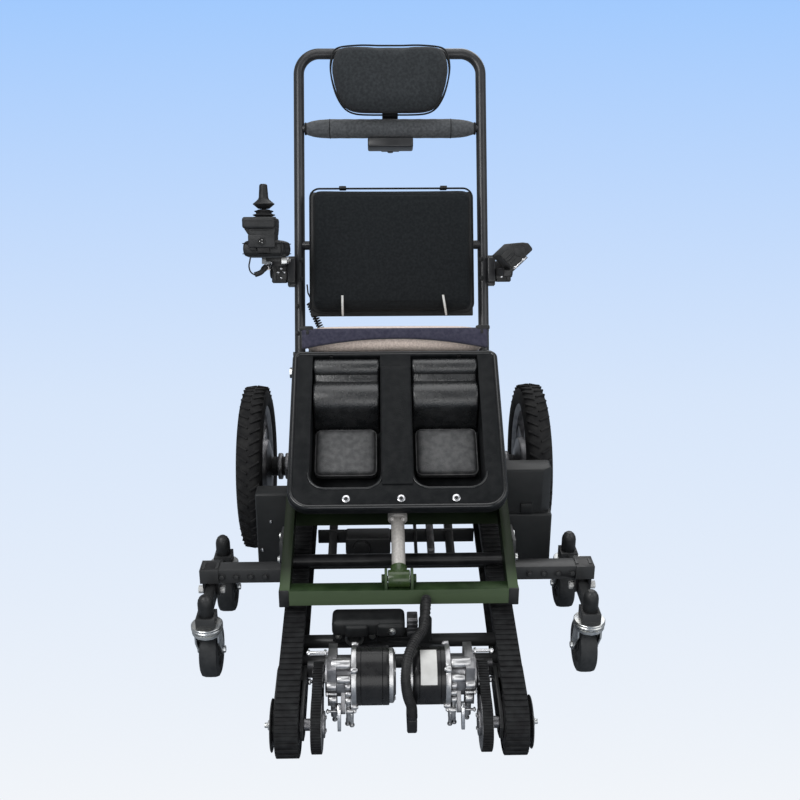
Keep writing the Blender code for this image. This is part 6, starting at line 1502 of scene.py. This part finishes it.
def controller():
    """A lidded box on a neck that narrows down over the pad's front, with a round socket."""
    top = block((CONTROLLER_X[0] + 0.0004, CONTROLLER_X[1] - 0.0004),
        (CONTROLLER_AHEAD[0] + 0.0004, CONTROLLER_AHEAD[1] - 0.0004), (NECK_UP, CTRL_TOP - 0.0003), 0.0055, 5)
    well = pin((STICK_AT[0], STICK_AT[1], CTRL_TOP - 0.012), (STICK_AT[0], STICK_AT[1], CTRL_TOP + 0.01),
        0.0232, 64, 0)
    carved(top, well)
    front = ARM_PAD_END + 0.0003 + 0.0095
    neck = block((NECK_X[0] + 0.0012, NECK_X[1] - 0.0012), (CONTROLLER_AHEAD[0] + 0.01, front - 0.0005),
        (CTRL_BASE, NECK_UP + 0.006), 0.003, 3)
    apron = block((NECK_X[0] + 0.0004, NECK_X[1] - 0.0004), (ARM_PAD_END + 0.0003, front),
        (CTRL_BASE - 0.0168, CTRL_BASE + 0.012), 0.003, 3)
    shoulders = along_arm([(CONTROLLER_X[0] + 0.004, NECK_UP + 0.004),
        (CONTROLLER_X[0] + 0.004, NECK_UP - 0.001), (NECK_X[0] + 0.001, NECK_UP - 0.013),
        (NECK_X[1] - 0.001, NECK_UP - 0.013), (CONTROLLER_X[1] - 0.0005, NECK_UP - 0.001),
        (CONTROLLER_X[1] - 0.0005, NECK_UP + 0.004)], (CONTROLLER_AHEAD[0] + 0.008, front - 0.001))
    edged(shoulders, 0.0015, 3)
    lip = turned([(0.0228, 0.0), (0.0255, 0.0), (0.0255, 0.0008), (0.0244, 0.0014), (0.0228, 0.0014)],
        (STICK_AT[0], STICK_AT[1], CTRL_TOP - 0.0006), (0, 0, 1), 64)
    ready([top, neck, apron, shoulders, lip], "controller_surface", "left_armrest", CONTROL_PLASTIC, ARM,
        node="controller")
    lines = [tube([(x, t, up) for x, t in rounded_sheet((CONTROLLER_X[0] + 0.0003, CONTROLLER_X[1] - 0.0003),
        (CONTROLLER_AHEAD[0] + 0.0003, CONTROLLER_AHEAD[1] - 0.0003), 0.006, 0.006)], 0.0006, 3, True)
        for up in (CTRL_TOP - 0.0085,)]
    lines.append(block((-0.301, -0.266), (front - 0.001, front + 0.0009),
        (NECK_UP - 0.0046, NECK_UP - 0.0026), 0.0006))
    for x, t in ((-0.311, 0.136), (-0.259, 0.136)):
        lines.append(round_screw((x, t, CTRL_TOP - 0.0004), (0, 0, 1), 0.0024, 0.0012))
    ready(lines, "controller_lines", "left_armrest", PLASTIC, ARM)
    keys = [block((-0.306 + 0.018 * i, -0.291 + 0.018 * i), (0.144, 0.154),
        (CTRL_TOP - 0.001, CTRL_TOP + 0.001), 0.0008) for i in range(3)]
    ready(keys, "controller_keys", "left_armrest", FOOT_PAD, ARM)
    socket_at = (-0.28, front - 0.0005, CTRL_BASE - 0.003)
    socket = turned([(0.0058, 0.0), (0.0085, 0.0), (0.0086, 0.0012), (0.0084, 0.0028), (0.0076, 0.0034),
        (0.0062, 0.0034), (0.0058, 0.0024)], socket_at, FORWARD, 48)
    ready(socket, "controller_socket_ring", "left_armrest", PLASTIC, ARM)
    core = [pin(socket_at, (socket_at[0], front + 0.0016, socket_at[2]), 0.006, 32, 0.0004)]
    ready(core, "controller_socket_core", "left_armrest", BOOT, ARM)
    pins = [pin((socket_at[0] + 0.0034 * math.cos(a), front + 0.0012, socket_at[2] + 0.0034 * math.sin(a)),
        (socket_at[0] + 0.0034 * math.cos(a), front + 0.0026, socket_at[2] + 0.0034 * math.sin(a)), 0.001, 12,
        0) for a in (math.pi, math.pi * 5 / 3, math.pi / 3)]
    ready(pins, "controller_socket_pins", "left_armrest", ZINC, ARM)
    tabs = [block((-0.305, -0.292), (ARM_PAD_END - 0.002, front - 0.002),
        (CTRL_BASE - 0.022, CTRL_BASE - 0.0166), 0.001), block((-0.289, -0.264),
        (ARM_PAD_END - 0.002, front - 0.003), (CTRL_BASE - 0.027, CTRL_BASE - 0.0166), 0.001)]
    ready(tabs, "controller_plugs", "left_armrest", BOOT, ARM)


controller()
boot_low = -0.0117
boot_profile = [(0.0044, boot_low), (0.013, boot_low), (0.0205, boot_low + 0.0075), (0.018, boot_low + 0.012),
    (0.0185, boot_low + 0.0135), (0.0236, boot_low + 0.0155), (0.0242, boot_low + 0.0165),
    (0.0236, boot_low + 0.0173), (0.0172, boot_low + 0.0192), (0.0166, boot_low + 0.0205),
    (0.0172, boot_low + 0.0218), (0.0204, boot_low + 0.0236), (0.0208, boot_low + 0.0245),
    (0.02, boot_low + 0.0253), (0.0135, boot_low + 0.027), (0.0125, boot_low + 0.0279),
    (0.0066, boot_low + 0.0288), (0.0044, boot_low + 0.0288)]
ready(turned(boot_profile, STICK_AT, (0, 0, 1), 64), "joystick_boot", "joystick_gimbal", BOOT, ARM, 60,
    node="joystick_gaiter")
skirt = 0.018
stick_profile = [(0.0, -0.0098), (0.004, -0.0098), (0.004, skirt), (0.012, skirt), (0.0222, skirt + 0.0086),
    (0.0233, skirt + 0.0095), (0.0232, skirt + 0.0104), (0.0215, skirt + 0.0118), (0.0165, skirt + 0.0158),
    (0.0118, skirt + 0.0204), (0.0103, skirt + 0.024), (0.0098, skirt + 0.032), (0.0089, skirt + 0.044),
    (0.0087, skirt + 0.0485), (0.0078, skirt + 0.0508), (0.0055, skirt + 0.0523), (0.0, skirt + 0.0527)]
ready(turned(stick_profile, STICK_AT, (0, 0, 1), 64), "joystick_surface", "joystick_stick", PLASTIC, ARM, 50,
    node="joystick")

# Cords: the controller's lead, the curly cord beside the back and the motor's ribbed cable
LEAD_R = 0.0016
LEAD_ROUTE = [(-0.306, 0.205, 0.0277), (-0.3075, 0.206, 0.02), (-0.3095, 0.2065, 0.008),
    (-0.306, 0.206, -0.004), (-0.296, 0.204, -0.01), (-0.2855, 0.2, -0.005), (-0.279, 0.192, 0.003),
    (-0.2745, 0.176, 0.009), (-0.2725, 0.155, 0.011), (-0.271, 0.1, 0.011), (-0.27, 0.04, 0.009),
    (-0.269, 0.0088, 0.008)]


def cord(points, radius, node, body, material, where, resolution=4):
    """A cord of one smooth tube in place of its node."""
    piece = ready(tube(points, radius, resolution), f"{node}_surface", body, material, where, 60, node=node)


lead_points = smooth_route(LEAD_ROUTE, 6)
cord(lead_points, LEAD_R, "controller_lead", "left_armrest", JACKET, ARM)
sleeve = [tube(smooth_route([(-0.2975, 0.2042, -0.0096), (-0.2855, 0.2, -0.005), (-0.279, 0.192, 0.003)], 6),
    0.0056, 6), pin((-0.28, 0.193, 0.0018), (-0.2765, 0.185, 0.006), 0.0066, 24)]
ready(sleeve, "controller_lead_sleeve", "left_armrest", SLEEVE, ARM)

CORD_R = 0.0018
CURL_R = 0.0067
CURL_PITCH = 0.0059
CURL_POINTS = 16
CORD_TOP = [(-0.2005, 0.0, 0.165), (-0.1985, 0.0, 0.145)]
CORD_COIL = [(-0.195, 0.0, 0.122), (-0.185, -0.002, 0.096), (-0.174, -0.004, 0.072), (-0.164, -0.004, 0.05)]
CORD_FOOT = [(-0.152, -0.001, 0.024), (-0.15, 0.0, 0.0043)]


def curly_cord():
    """A straight lead, a helix along a bowed line, and a straight lead again."""
    axis = smooth_route(CORD_COIL, 40)
    lengths = [0.0]
    for a, b in zip(axis, axis[1:]):
        lengths.append(lengths[-1] + (b - a).length)
    curls = round(lengths[-1] / CURL_PITCH)
    points = [Vector(p) for p in CORD_TOP]
    place = 0
    for i in range(curls * CURL_POINTS + 1):
        distance = lengths[-1] * i / (curls * CURL_POINTS)
        while place < len(axis) - 2 and lengths[place + 1] < distance:
            place += 1
        heading = (axis[place + 1] - axis[place]).normalized()
        spot = axis[place] + heading * (distance - lengths[place])
        across_it = heading.cross(Vector((0, 1, 0))).normalized()
        out_of_it = across_it.cross(heading)
        angle = 2 * math.pi * i / CURL_POINTS
        points.append(spot + CURL_R * (across_it * math.cos(angle) + out_of_it * math.sin(angle)))
    return points + [Vector(p) for p in CORD_FOOT]


cord(curly_cord(), CORD_R, "curly_cord", "back", JACKET, BACK, 2)

CABLE_R = 0.008
lift_at = crawler_spot((0.548, 0.085))
lift_top = lift_at[1] + 0.012 + 0.05
cable_end = (0.045, lift_at[0] + 0.022, lift_top + 0.0003)
CABLE_ROUTE = [(0.0175, MOTOR_AT[0] + 0.0605, MOTOR_AT[1] - 0.0397),
    (0.017, MOTOR_AT[0] + 0.061, MOTOR_AT[1] - 0.02), (0.01, MOTOR_AT[0] + 0.062, MOTOR_AT[1] + 0.005),
    (0.007, MOTOR_AT[0] + 0.056, MOTOR_AT[1] + 0.034), (0.011, MOTOR_AT[0] + 0.036, MOTOR_AT[1] + 0.059),
    (0.024, MOTOR_AT[0] + 0.006, MOTOR_AT[1] + 0.072), (0.04, MOTOR_AT[0] - 0.03, MOTOR_AT[1] + 0.074),
    (0.047, cable_end[1] + 0.008, lift_top + 0.04), (0.045, cable_end[1], lift_top + 0.024),
    (0.045, cable_end[1], lift_top + 0.01), cable_end]
cable_points = smooth_route(CABLE_ROUTE, 8)
cord(cable_points, CABLE_R, "motor_cable", "crawler", SLEEVE, CRAWLER)
rings = []
rib = turned([(0.0074, -0.0009), (0.0086, -0.0006), (0.0088, 0.0), (0.0086, 0.0006), (0.0074, 0.0009)],
    (0, 0, 0), (0, 0, 1), 28)
for a, b in zip(cable_points[1:-1], cable_points[2:]):
    way_on = point(*(b - a))
    rings.append(copied(rib, Matrix.Translation(point(*a)) @ Vector((0, 0,
        1)).rotation_difference(way_on).to_matrix() .to_4x4()))
drop(rib)
ready(rings, "motor_cable_ribs", "crawler", SLEEVE, CRAWLER)
